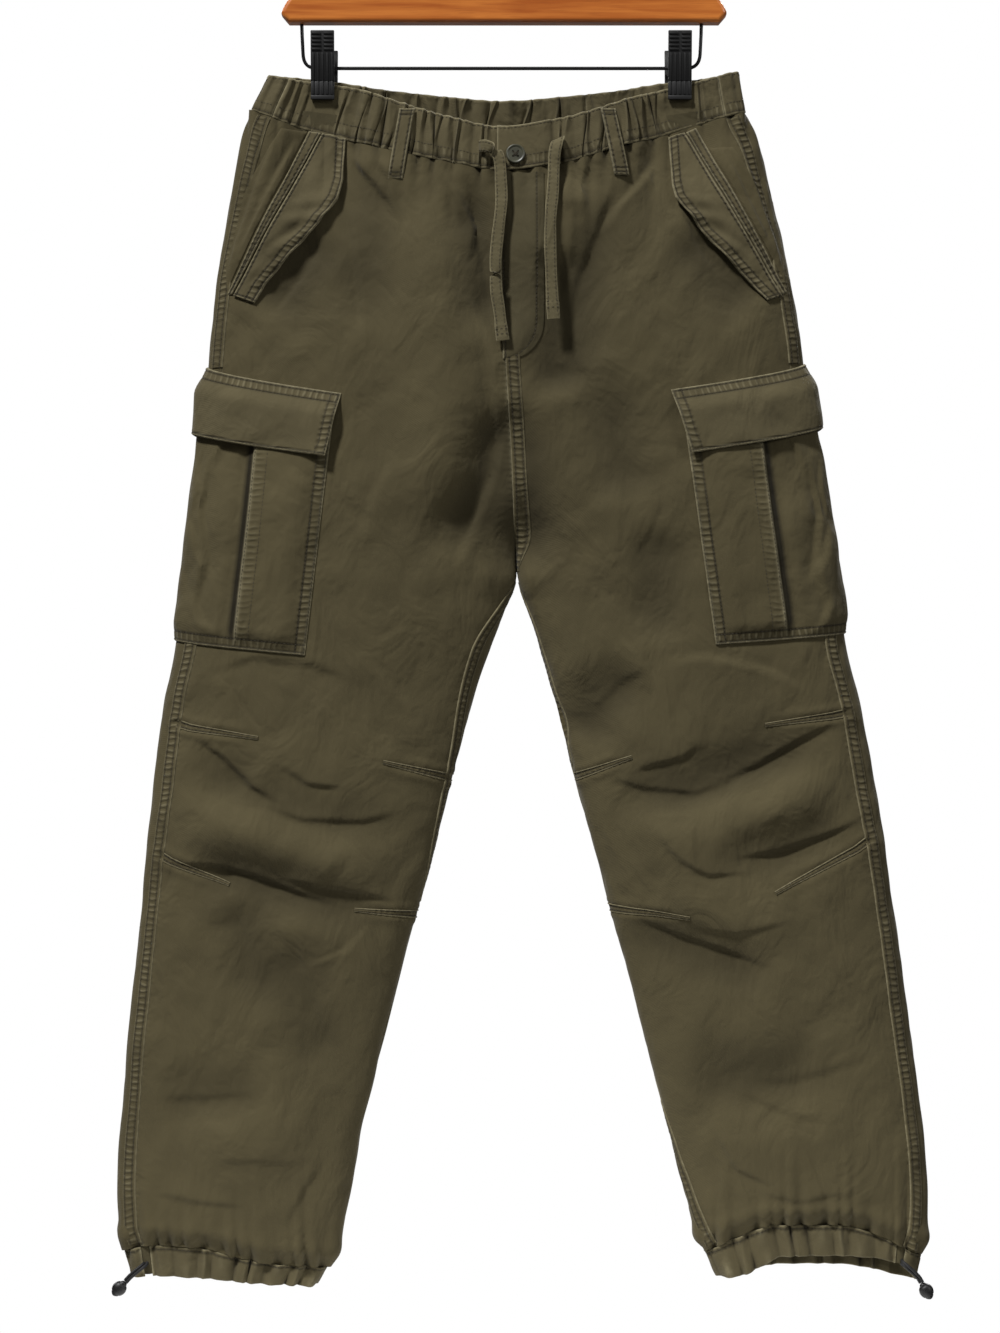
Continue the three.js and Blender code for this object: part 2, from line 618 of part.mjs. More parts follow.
function toSolid(geometry) {
  const merged = closedCopy(geometry);
  return new wasm.Manifold(new wasm.Mesh({
    numProp: 3,
    vertProperties: Float32Array.from(merged.getAttribute('position').array),
    triVerts: Uint32Array.from(merged.index.array),
  }));
}

function fromSolid(solid) {
  const mesh = solid.getMesh();
  const geometry = new THREE.BufferGeometry();
  geometry.setAttribute('position', new THREE.BufferAttribute(mesh.vertProperties, 3));
  geometry.setIndex(Array.from(mesh.triVerts));
  geometry.computeVertexNormals();
  return geometry;
}

function legPanels() {
  const rows = shares(panelRows);
  for (const side of ['left', 'right']) {
    const heightOf = (down) => mix(waistSeam, hemSeam, down);
    const front = clothWallBody(rows, shares(frontColumns), clothWall, (down, across) => {
      const height = heightOf(down);
      const gap = hairline(side, height);
      const turn = mix(inseamTurn(side, height) + gap, seamTurn(side, height) - gap, across);
      return { side, turn, height, lift: -clothWall };
    });
    add(`front_panel_${side}`, front, cloth);
    const back = clothWallBody(rows, shares(backColumns), clothWall, (down, across) => {
      const height = heightOf(down);
      const gap = hairline(side, height);
      const turn = mix(seamTurn(side, height) + gap, 2 + inseamTurn(side, height) - gap, across);
      return { side, turn, height, lift: -clothWall };
    });
    add(`back_panel_${side}`, back, cloth);
  }
}

// Turns evenly spaced along stretches of one or both sides, each { side, from, to }
function evenTurns(stretches, height) {
  const samples = 160;
  const list = [];
  let length = 0;
  for (const { side, from, to } of stretches) {
    for (const share of shares(samples)) {
      const turn = mix(from, to, share);
      const { point } = basePoint(side, turn, height);
      if (list.length > 0) length += point.distanceTo(list[list.length - 1].point);
      list.push({ side, turn, point, length });
    }
  }
  return (share) => {
    const wanted = share * length;
    const next = list.findIndex((sample) => sample.length >= wanted);
    if (next < 0) return list[list.length - 1];
    if (next === 0) return list[0];
    const before = list[next - 1];
    const after = list[next];
    if (before.side !== after.side) return after;
    const t = (wanted - before.length) / (after.length - before.length);
    return { side: after.side, turn: mix(before.turn, after.turn, t) };
  };
}

// Columns of an uneven run of gathers, four to a gather, each { share, wave }
function gatherColumns(count) {
  const steps = count * 4;
  return Array.from({ length: steps + 1 }, (_, k) => {
    const ends = Math.sin((Math.PI * k) / steps) ** 0.5;
    const sway = ends * (0.8 * Math.sin(k * 0.61) + 0.6 * Math.sin(k * 0.23));
    const size = 0.7 + 0.3 * Math.sin(k * 1.7);
    return { share: (k + sway) / steps, wave: ends * size * Math.sin((k * Math.PI) / 2) };
  });
}

function waistband() {
  const middle = (waistTop + waistSeam) / 2;
  const bandRows = [waistTop, waistSeam];
  const build = (name, stretches, count, extraLift) => {
    const turnOf = evenTurns(stretches, middle);
    const body = clothWallBody(bandRows, gatherColumns(count), bandWall, (row, { share, wave }) => {
      const { side, turn } = turnOf(share);
      const { point } = basePoint(side, turn, row);
      const extra = extraLift(point);
      const loose = (1 - pinch(point.x, -point.z)) * extra.loose;
      const height = row === waistSeam ? row - bandSeamGap : row;
      const gather = loose * (gatherHeight * wave - gatherSink);
      return { side, turn, height, lift: gather + extra.lift - bandWall };
    });
    add(name, body, clothWorn);
  };
  const gapLeft = hairline('left', middle);
  const gapRight = hairline('right', middle);
  const seamLeft = seamTurn('left', middle);
  const seamRight = seamTurn('right', middle);
  const plain = () => ({ lift: 0, loose: 1 });
  const tab = (point) => {
    const on = point.y < 0 ? 1 - smooth((point.x - tabEnd) / tabFade) : 0;
    return { lift: on * (bandWall + 2 * seamGap), loose: 1 - on };
  };
  const overlap = turnAt('right', middle, -tabOverlap);
  const left = [{ side: 'left', from: seamLeft - gapLeft, to: gapLeft }];
  const right = [{ side: 'right', from: -Math.abs(overlap), to: seamRight - gapRight }];
  const back = [
    { side: 'left', from: seamLeft + gapLeft, to: 2 },
    { side: 'right', from: 2, to: seamRight + gapRight },
  ];
  build('waistband_left', left, bandGathers.front, plain);
  build('waistband_right', right, bandGathers.front, tab);
  build('waistband_back', back, bandGathers.back, plain);
}

// Strip laid on the cloth between its sewn and its free edge
function laidStrip(face, edges, rows, columns, wall, liftAt) {
  const layer = (extra) => shares(rows).map((down) => shares(columns).map((across) => {
    const [ax, ad] = onPath(edges.sewn, down);
    const [bx, bd] = onPath(edges.free, down);
    return over(face, mix(ax, bx, across), mix(ad, bd, across), liftAt(down, across) + extra);
  }));
  return wallBetween(layer(wall), layer(0));
}

function handPocketPieces() {
  const flat = () => layLift;
  const standing = (down, across) => layLift + flapStand * across * Math.sin(Math.PI * down);
  for (const [side, { facing, welt, flap }] of Object.entries(handPockets)) {
    add(`pocket_facing_${side}`, laidStrip('front', facing, 7, 2, layWall, flat), cloth);
    add(`pocket_welt_${side}`, laidStrip('front', welt, 8, 1, layWall, flat), clothWorn);
    add(`pocket_flap_${side}`, laidStrip('front', flap, 12, 3, flapWall, standing), clothWorn);
  }
}

// Place on a cargo pocket or its flap, at a share of the way down between two edges. round runs from -1 at
// the front end to 0 at the side of the leg and 1 at the back end.
function cargoPlace(side, round, down, top, end) {
  const dropOf = (edge) => edge.drop + edge.slant * Math.abs(round) ** slantShape;
  const height = mix(dropOf(top), dropOf(end), down);
  const r = ring(side, height);
  const backX = r.outX + Math.sign(r.inX - r.outX) * cargoBackWidth;
  const frontTurn = turnAt(side, height, mix(top.frontX, end.frontX, down));
  const backTurn = 2 - turnAt(side, height, backX);
  return { side, height, turn: round < 0 ? mix(1, frontTurn, -round) : mix(1, backTurn, round) };
}

function cargoPockets() {
  // Lift over the leg round the pocket: the bellows fold stands higher up to its pleat
  const pocketRound = [
    { round: -1, lift: 0 }, { round: -0.93, lift: 0.8 }, { round: -0.72, lift: 1, pleat: 1 },
    { round: -0.5, lift: 1, pleat: 1 }, { round: -0.46, lift: 0.95 }, { round: -0.25, lift: 1 },
    { round: -0.12, lift: 1 }, { round: 0, lift: 1 }, { round: 0.12, lift: 1 }, { round: 0.25, lift: 1 },
    { round: 0.46, lift: 0.95 }, { round: 0.5, lift: 1, pleat: 1 },
    { round: 0.75, lift: 1, pleat: 1 }, { round: 0.93, lift: 0.8 }, { round: 1, lift: 0 },
  ];
  const pocketDown = [
    { down: 0, lift: 0.7 }, { down: 0.2, lift: 0.85 }, { down: 0.45, lift: 1 }, { down: 0.7, lift: 1 },
    { down: 0.93, lift: 0.95 }, { down: 0.97, lift: 0.8 }, { down: 1, lift: 0 },
  ];
  const flapRound = shares(12).map((share) => 2 * share - 1);
  const flapDown = [
    { down: 0, lift: 0 }, { down: 0.12, lift: 0.2 }, { down: 0.35, lift: 0.9 }, { down: 1, lift: 1 },
  ];
  for (const [side, shape] of Object.entries(cargo)) {
    const pocket = clothWallBody(pocketDown, pocketRound, cargoWall, (row, column) => {
      const place = cargoPlace(side, column.round, row.down, shape.pocketTop, shape.pocketEnd);
      const lift = layLift + column.lift * row.lift * cargoHollow;
      return { ...place, lift, extra: (column.pleat ?? 0) * row.lift * pleatStep };
    });
    add(`cargo_pocket_${side}`, pocket, cloth);
    const flap = clothWallBody(flapDown, flapRound, flapWall, (row, round) => {
      const stand = row.lift * (cargoHollow + cargoWall + pleatStep + layLift);
      const place = cargoPlace(side, round, row.down, shape.flapTop, shape.flapEnd);
      return { ...place, lift: layLift + stand };
    });
    add(`cargo_flap_${side}`, flap, clothWorn);
  }
}

function beltLoopPieces() {
  for (const loop of beltLoops) {
    const edge = (offset) => [0, 1].map((end) => [loop.x[end] + offset, loop.drop[end]]);
    const edges = { sewn: edge(-loop.width / 2), free: edge(loop.width / 2) };
    const bowed = (down) => loopLift + loopBow * Math.sin(Math.PI * down);
    add(loop.name, laidStrip(loop.face, edges, loopRows, 2, loopWall, bowed), clothWorn);
  }
}

function flyFront() {
  const rows = shares(11).map((share) => mix(flyTop, flyEnd, share));
  const left = rows.map((drop) => [mix(...flyLeft, (drop - flyTop) / (flyEnd - flyTop)), drop]);
  const right = rows.map((drop) => {
    const below = Math.max(0, drop - (flyEnd - flyRound)) / flyRound;
    return [mix(flyTip, flyRight, Math.sqrt(Math.max(0, 1 - below * below))), drop];
  });
  const layer = (lift) => rows.map((drop, row) => shares(3).map((across) => (
    over('front', mix(left[row][0], right[row][0], across), drop, lift))));
  add('fly_front', wallBetween(layer(layLift + layWall), layer(layLift)), clothDark);
}

function shirtButton() {
  const face = new THREE.Shape().absarc(0, 0, button.radius - 0.5, 0, 2 * Math.PI);
  for (const [i, j] of [[1, 1], [1, -1], [-1, 1], [-1, -1]]) {
    const hole = new THREE.Path();
    hole.absarc(i * button.holeOffset, j * button.holeOffset, button.hole, 0, 2 * Math.PI, true);
    face.holes.push(hole);
  }
  const bevel = 0.5;
  const disc = new THREE.ExtrudeGeometry(face, {
    depth: button.thickness - 2 * bevel,
    bevelThickness: bevel,
    bevelSize: bevel,
    bevelSegments: 1,
    curveSegments: 6,
  });
  const onTab = (drop) => over('front', button.x, drop, bandWall + 3 * seamGap);
  const seat = onTab(button.drop);
  const slope = onTab(button.drop - button.radius).sub(onTab(button.drop + button.radius));
  disc.rotateX(Math.PI / 2);
  disc.translate(0, -bevel, 0);
  disc.rotateX(Math.atan2(-slope.y, slope.z));
  disc.translate(seat.x, seat.y, seat.z);
  add('button', closedCopy(disc), buttonResin);
}

function drawstrings() {
  for (const [side, route] of Object.entries(tapes)) {
    const centre = new THREE.CatmullRomCurve3(route.map((p) => new THREE.Vector3(p.x, p.y, -p.drop)));
    const frames = route.map((p, i) => {
      const t = i / (route.length - 1);
      const forward = centre.getTangent(t);
      const turn = THREE.MathUtils.degToRad(p.turn);
      const lean = new THREE.Vector3(Math.cos(turn), 0, -Math.sin(turn));
      const across = lean.addScaledVector(forward, -lean.dot(forward)).normalize();
      return { centre: centre.getPoint(t), across, out: forward.cross(across) };
    });
    add(`drawstring_${side}`, sweep(frames, tapeWidth, tapeThickness, 8, 0.5), tape);
  }
}

function hemCasings() {
  for (const side of ['left', 'right']) {
    const middle = (hemSeam + hemEnd) / 2;
    const seam = seamTurn(side, middle);
    const slit = hemSlit / Math.abs(ring(side, middle).outX - ring(side, middle).inX);
    const turnOf = evenTurns([{ side, from: seam - 2 + slit, to: seam - slit }], middle);
    const body = clothWallBody([hemSeam, hemEnd], gatherColumns(hemGathers), casingWall, (row, column) => {
      const height = row === hemSeam ? row + casingSeamGap : row;
      const { turn } = turnOf(column.share);
      return { side, turn, height, lift: hemGatherHeight * (column.wave - 1) - casingWall };
    });
    add(`hem_casing_${side}`, body, clothWorn);
  }
}

function hemCordsAndLocks() {
  for (const [side, route] of Object.entries(hemCords)) {
    const points = route.map(([x, y, drop]) => new THREE.Vector3(x, y, -drop));
    const curve = new THREE.CatmullRomCurve3(points);
    add(`hem_cord_${side}`, roundBar(curve, hemCordWidth / 2, 8, 8), blackPlastic);
    const end = points[points.length - 1];
    const forward = curve.getTangent(1);
    const lock = new THREE.SphereGeometry(0.5, 12, 8);
    lock.scale(cordLock.wide, cordLock.thick, cordLock.long);
    lock.rotateY(Math.atan2(forward.x, forward.z));
    const seat = end.clone().addScaledVector(forward, cordLock.long / 2 + seamGap);
    lock.translate(seat.x, seat.y, seat.z);
    add(`cord_lock_${side}`, closedCopy(lock), blackPlastic);
  }
}

function cylinderAlong(axis, radius, length, place) {
  const rod = new THREE.CylinderGeometry(radius, radius, length, 16);
  if (axis === 'x') rod.rotateZ(Math.PI / 2);
  if (axis === 'z') rod.rotateX(Math.PI / 2);
  rod.translate(...place);
  return rod;
}

function hangerBar() {
  const bevel = 7;
  const thickness = 18;
  const endTop = 84;
  const neckTop = 70;
  const neckHalf = 16;
  const half = new THREE.Shape();
  half.moveTo(-(barHalf - bevel), -(barBottom - bevel));
  half.lineTo(barHalf - bevel, -(barBottom - bevel));
  half.lineTo(barHalf - bevel - 16, -(endTop + bevel));
  half.quadraticCurveTo(90, -(endTop + 3), neckHalf, -(neckTop + bevel));
  half.lineTo(-neckHalf, -(neckTop + bevel));
  half.quadraticCurveTo(-90, -(endTop + 3), -(barHalf - bevel - 16), -(endTop + bevel));
  half.closePath();
  const bar = new THREE.ExtrudeGeometry(half, {
    depth: thickness - 2 * bevel,
    bevelThickness: bevel,
    bevelSize: bevel,
    bevelSegments: 3,
    curveSegments: 6,
  });
  bar.rotateX(Math.PI / 2);
  bar.translate(0, thickness / 2 - bevel, 0);
  let solid = toSolid(bar);
  const holeDepth = 14;
  for (const x of Object.values(wireEnds)) {
    const drill = cylinderAlong('z', wireRadius + seamGap, 2 * holeDepth, [x, 0, -barBottom]);
    solid = solid.subtract(toSolid(drill));
  }
  const stemDrill = cylinderAlong('z', hookWire / 2 + seamGap, 2 * holeDepth, [0, 0, -neckTop]);
  solid = solid.subtract(toSolid(stemDrill));
  add('hanger_bar', fromSolid(solid), wood);
}

function hangerHook() {
  const radius = hookRadius + hookWire / 2;
  const stem = [82, 72, 62, 54].map((drop) => new THREE.Vector3(0, 0, -drop));
  const sweepAngles = shares(15).map((share) => THREE.MathUtils.degToRad(mix(-58, 200, share)));
  const arc = sweepAngles.map((angle) => (
    new THREE.Vector3(radius * Math.cos(angle), 0, radius * Math.sin(angle) - hookRadius)));
  const curve = new THREE.CatmullRomCurve3([...stem, ...arc]);
  add('hanger_hook', roundBar(curve, hookWire / 2, 26, 10), steel);
}

function hangerWire() {
  const corner = 6;
  const top = barBottom - 12;
  const bend = (x, inward) => [0, 30, 60, 90].map((degrees) => {
    const angle = THREE.MathUtils.degToRad(degrees);
    return [x + inward * corner * (1 - Math.cos(angle)), wireDrop - corner * (1 - Math.sin(angle))];
  });
  const corners = [...bend(wireEnds.left, 1), ...bend(wireEnds.right, -1).reverse()];
  const route = [[wireEnds.left, top], ...corners, [wireEnds.right, top]]
    .map(([x, drop]) => new THREE.Vector3(x, 0, -drop));
  const depthAxis = new THREE.Vector3(0, 1, 0);
  const frames = route.map((centre, i) => {
    const before = route[Math.max(0, i - 1)];
    const after = route[Math.min(route.length - 1, i + 1)];
    const forward = after.clone().sub(before).normalize();
    return { centre, across: forward.clone().cross(depthAxis), out: depthAxis };
  });
  add('hanger_wire', sweep(frames, 2 * wireRadius, 2 * wireRadius, 10, 1), blackWire);
}

// Clip: two jaws that press the waistband, sprung apart at the top about the wire
function clips() {
  const width = 20;
  const gripDrop = 165;
  const endDrop = 180.4;
  const grip = pinchHalf + 0.9;
  const jawWall = 3;
  const spread = 4.6;
  const jaws = {
    front: { sign: -1, topDrop: 122.6, shift: 0 },
    back: { sign: 1, topDrop: 136, shift: 2.2 },
  };
  const springRadius = 4.9;
  for (const [side, clipX] of Object.entries(clipXs)) {
    const inward = side === 'left' ? 1 : -1;
    for (const [name, jaw] of Object.entries(jaws)) {
      const reach = gripDrop - jaws.front.topDrop;
      const lean = (drop) => grip + (spread * Math.max(0, gripDrop - drop)) / reach;
      const profile = new THREE.Shape();
      profile.moveTo(grip, -endDrop);
      profile.lineTo(grip + jawWall - 1, -endDrop);
      profile.lineTo(grip + jawWall, -(endDrop - 2));
      profile.lineTo(lean(gripDrop) + jawWall, -gripDrop);
      profile.lineTo(lean(jaw.topDrop) + jawWall, -jaw.topDrop);
      profile.lineTo(lean(jaw.topDrop), -jaw.topDrop);
      profile.lineTo(lean(gripDrop), -gripDrop);
      profile.closePath();
      const body = new THREE.ExtrudeGeometry(profile, { depth: width, bevelEnabled: false });
      const basis = new THREE.Matrix4().makeBasis(
        new THREE.Vector3(0, jaw.sign, 0),
        new THREE.Vector3(0, 0, 1),
        new THREE.Vector3(jaw.sign, 0, 0),
      );
      body.applyMatrix4(basis);
      body.translate(clipX + inward * jaw.shift - (jaw.sign * width) / 2, 0, 0);
      add(`clip_${side}_jaw_${name}`, closedCopy(body), blackPlastic);
    }
    const springLength = 14;
    const coil = toSolid(cylinderAlong('x', springRadius, springLength, [clipX, 0, -wireDrop]));
    const bore = toSolid(cylinderAlong('x', wireRadius + seamGap, 2 * springLength, [clipX, 0, -wireDrop]));
    add(`clip_${side}_spring`, fromSolid(coil.subtract(bore)), steel);
  }
}

legPanels();
waistband();
flyFront();
handPocketPieces();
cargoPockets();
beltLoopPieces();
shirtButton();
drawstrings();
hemCasings();
hemCordsAndLocks();
hangerBar();
hangerHook();
hangerWire();
clips();

export default group;
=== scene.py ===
import bpy
import bmesh
import json
import math
import numpy as np
from mathutils import Matrix, Vector

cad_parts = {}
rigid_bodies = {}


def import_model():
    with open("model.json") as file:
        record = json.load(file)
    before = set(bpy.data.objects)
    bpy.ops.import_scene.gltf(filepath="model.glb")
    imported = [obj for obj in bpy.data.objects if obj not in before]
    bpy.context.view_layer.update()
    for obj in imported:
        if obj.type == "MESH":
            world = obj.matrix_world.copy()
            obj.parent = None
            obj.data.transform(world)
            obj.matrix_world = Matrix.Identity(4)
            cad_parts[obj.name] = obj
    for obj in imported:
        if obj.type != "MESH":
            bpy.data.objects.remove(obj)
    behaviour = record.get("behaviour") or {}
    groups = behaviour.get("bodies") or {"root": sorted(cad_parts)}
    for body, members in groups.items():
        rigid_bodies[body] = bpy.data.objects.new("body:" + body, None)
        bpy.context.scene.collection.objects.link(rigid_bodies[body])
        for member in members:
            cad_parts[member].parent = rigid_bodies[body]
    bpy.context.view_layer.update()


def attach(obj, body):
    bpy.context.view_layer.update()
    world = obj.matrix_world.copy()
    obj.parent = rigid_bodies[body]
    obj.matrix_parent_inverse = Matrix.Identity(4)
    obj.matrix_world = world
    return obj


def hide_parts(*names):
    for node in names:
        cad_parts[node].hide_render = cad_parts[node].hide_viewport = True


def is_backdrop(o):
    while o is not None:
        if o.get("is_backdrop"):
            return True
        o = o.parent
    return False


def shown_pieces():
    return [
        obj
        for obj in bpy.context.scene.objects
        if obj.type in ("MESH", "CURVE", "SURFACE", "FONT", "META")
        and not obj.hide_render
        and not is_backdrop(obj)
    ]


for thing in list(bpy.data.objects):
    bpy.data.objects.remove(thing)
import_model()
mm = 0.001
print("frame loaded")

# All sizes below are millimetres. A drop is a distance below the hook's bearing point, and left and
# right are the viewer's. The sizes of the cloth repeat those of the solids.

camera = {"distance": 2400, "x": -3.4, "drop": 661.1, "frameHeight": 1133}
cameraData = bpy.data.cameras.new("camera")
cameraData.sensor_width = 36
cameraData.lens = cameraData.sensor_width * camera["distance"] / camera["frameHeight"]
cameraObject = bpy.data.objects.new("camera", cameraData)
cameraObject.location = (camera["x"] * mm, -camera["distance"] * mm, -camera["drop"] * mm)
cameraObject.rotation_euler = (math.radians(90), 0, 0)
bpy.context.collection.objects.link(cameraObject)
bpy.context.scene.camera = cameraObject
bpy.context.scene.view_settings.view_transform = "Standard"
print("camera set")


# Meshes

def mix(a, b, share):
    return a + (b - a) * share


def smooth(value):
    share = np.clip(value, 0, 1)
    return share * share * (3 - 2 * share)


def linked(name, data):
    thing = bpy.data.objects.new(name, data)
    bpy.context.collection.objects.link(thing)
    return thing


def applied(thing):
    # The piece with its modifiers applied
    bpy.context.view_layer.update()
    mesh = bpy.data.meshes.new_from_object(thing.evaluated_get(bpy.context.evaluated_depsgraph_get()))
    thing.modifiers.clear()
    thing.data = mesh
    return thing


def meshObject(name, points, faces, values=None, angle=40):
    # Points in millimetres, as x, y and z
    mesh = bpy.data.meshes.new(name)
    mesh.from_pydata((np.asarray(points, float) * mm).tolist(), [], faces)
    mesh.validate()
    for key, numbers in (values or {}).items():
        layer = mesh.attributes.new(key, "FLOAT", "POINT")
        layer.data.foreach_set("value", np.asarray(numbers, np.float32).ravel())
    work = bmesh.new()
    work.from_mesh(mesh)
    bmesh.ops.recalc_face_normals(work, faces=work.faces)
    work.to_mesh(mesh)
    work.free()
    mesh.shade_smooth()
    mesh.set_sharp_from_angle(angle=math.radians(angle))
    return linked(name, mesh)


def gridFaces(rows, columns, offset=0, flip=False):
    r, c = np.meshgrid(np.arange(rows - 1), np.arange(columns - 1), indexing="ij")
    a = offset + (r * columns + c).ravel()
    quads = np.stack([a, a + columns, a + columns + 1, a + 1], 1)
    return (quads[:, ::-1] if flip else quads).tolist()


def border(rowsAt, columnsAt, offset):
    # Numbers of the points round a grid, by row and column
    lastRow, lastColumn = rowsAt[-1], columnsAt[-1]
    walk = [(0, c) for c in columnsAt] + [(r, lastColumn) for r in rowsAt[1:]]
    walk += [(lastRow, c) for c in columnsAt[-2::-1]] + [(r, 0) for r in rowsAt[-2:0:-1]]
    rowNumber = {r: i for i, r in enumerate(rowsAt)}
    columnNumber = {c: i for i, c in enumerate(columnsAt)}
    return {place: offset + rowNumber[place[0]] * len(columnsAt) + columnNumber[place[1]] for place in walk}


def wallMesh(name, outer, inner, values=None, angle=50, coarse=1):
    # Closed wall between two grids of points. A coarse inside keeps every second or third of its points
    rows, columns = outer.shape[:2]
    count = rows * columns
    keptRows = sorted({*range(0, rows, coarse), rows - 1})
    keptColumns = sorted({*range(0, columns, coarse), columns - 1})
    faces = gridFaces(rows, columns) + gridFaces(len(keptRows), len(keptColumns), count, True)
    outside = border(list(range(rows)), list(range(columns)), 0)
    inside = border(keptRows, keptColumns, count)
    places = list(outside)
    posts = [i for i, place in enumerate(places) if place in inside]
    for i, j in zip(posts, posts[1:] + [len(places)]):
        run = [outside[places[k % len(places)]] for k in range(i, j + 1)]
        faces.append(run + [inside[places[j % len(places)]], inside[places[i]]])
    kept = np.ix_(keptRows, keptColumns)
    points = np.concatenate([outer.reshape(-1, 3), inner[kept].reshape(-1, 3)])
    both = {}
    for key, numbers in (values or {}).items():
        full = np.broadcast_to(numbers, (rows, columns))
        both[key] = np.concatenate([full.ravel(), full[kept].ravel()])
    return meshObject(name, points, faces, both, angle)


def sweepMesh(name, centres, across, out, width, thickness, sides, squareness, values=None, angle=40):
    # Bar along its centres. A squareness of 1 makes it round, and a lower one flattens its faces
    turn = np.arange(sides) / sides * 2 * math.pi
    side = np.sign(np.cos(turn)) * np.abs(np.cos(turn)) ** squareness
    width = np.broadcast_to(width, len(centres))[:, None, None]
    thickness = np.broadcast_to(thickness, len(centres))[:, None, None]
    points = centres[:, None] + across[:, None] * width / 2 * side[None, :, None]
    points = points + out[:, None] * thickness / 2 * np.sin(turn)[None, :, None]
    rings = len(centres)
    faces = []
    for s in range(rings - 1):
        for i in range(sides):
            a, b = s * sides + i, s * sides + (i + 1) % sides
            faces.append([a, a + sides, b + sides, b])
    faces.append(list(range(sides)))
    faces.append(list(range((rings - 1) * sides, rings * sides)))
    return meshObject(name, points.reshape(-1, 3), faces, values, angle)


def rod(name, line, thickness, sides):
    forward = unit(np.gradient(line, axis=0))
    out = np.repeat([[0.0, 1.0, 0.0]], len(line), 0)
    return sweepMesh(name, line, np.cross(forward, out), out, thickness, thickness, sides, 1)


def curveThrough(route, count):
    # Points along a smooth line through the route's points
    route = np.asarray(route, float)
    ends = np.concatenate([[2 * route[0] - route[1]], route, [2 * route[-1] - route[-2]]])
    at = np.linspace(0, len(route) - 1, count)
    i = np.minimum(at.astype(int), len(route) - 2)
    t = (at - i)[:, None]
    p = [ends[i + k] for k in range(4)]
    return 0.5 * (2 * p[1] + (p[2] - p[0]) * t + (2 * p[0] - 5 * p[1] + 4 * p[2] - p[3]) * t ** 2
                  + (3 * p[1] - p[0] - 3 * p[2] + p[3]) * t ** 3)


def unit(vectors):
    return vectors / np.maximum(np.linalg.norm(vectors, axis=-1, keepdims=True), 1e-9)


# Materials

class Tree:
    # Short calls for a node tree

    def __init__(self, tree):
        self.tree = tree

    def node(self, kind, inputs=None, **settings):
        made = self.tree.nodes.new(kind)
        for key, value in settings.items():
            setattr(made, key, value)
        for key, value in (inputs or {}).items():
            if isinstance(value, bpy.types.NodeSocket):
                self.tree.links.new(value, made.inputs[key])
            else:
                made.inputs[key].default_value = value
        return made

    def math(self, operation, a, b=0.0, c=0.0):
        return self.node("ShaderNodeMath", {0: a, 1: b, 2: c}, operation=operation).outputs[0]

    def mixColor(self, factor, a, b, blend="MIX"):
        made = self.node("ShaderNodeMix", data_type="RGBA", blend_type=blend, clamp_factor=True)
        for key, value in ((0, factor), (6, a), (7, b)):
            if isinstance(value, bpy.types.NodeSocket):
                self.tree.links.new(value, made.inputs[key])
            else:
                made.inputs[key].default_value = value
        return made.outputs[2]

    def ramp(self, value, low, high):
        return self.node("ShaderNodeMapRange", {0: value, 1: low, 2: high, 3: 0.0, 4: 1.0}).outputs[0]


def linear(red, green, blue):
    # A colour picked in the 0 to 255 of a screen, as Blender's linear one
    levels = [c / 255 for c in (red, green, blue)]
    return [c / 12.92 if c <= 0.04045 else ((c + 0.055) / 1.055) ** 2.4 for c in levels] + [1]


def newMaterial(name):
    material = bpy.data.materials.new(name)
    material.use_nodes = True
    tree = Tree(material.node_tree)
    shader = material.node_tree.nodes["Principled BSDF"]
    place = tree.node("ShaderNodeTexCoord").outputs["Object"]
    return material, tree, shader, place


twill = {
    "blotches": 7, "patches": 38, "yarn": 1500, "ribs": 330, "wrinkles": 85, "rumples": 22,
    "puckerPitch": 5.2,
    # The pale colour stands for real worn edges and for painted highlights on raised crests; the dark colour
    # stands for real dark seam lines and for painted shade in hollows
    "wearAndHighlightColor": linear(148, 140, 112), "seamAndShadeColor": linear(31, 27, 16),
}


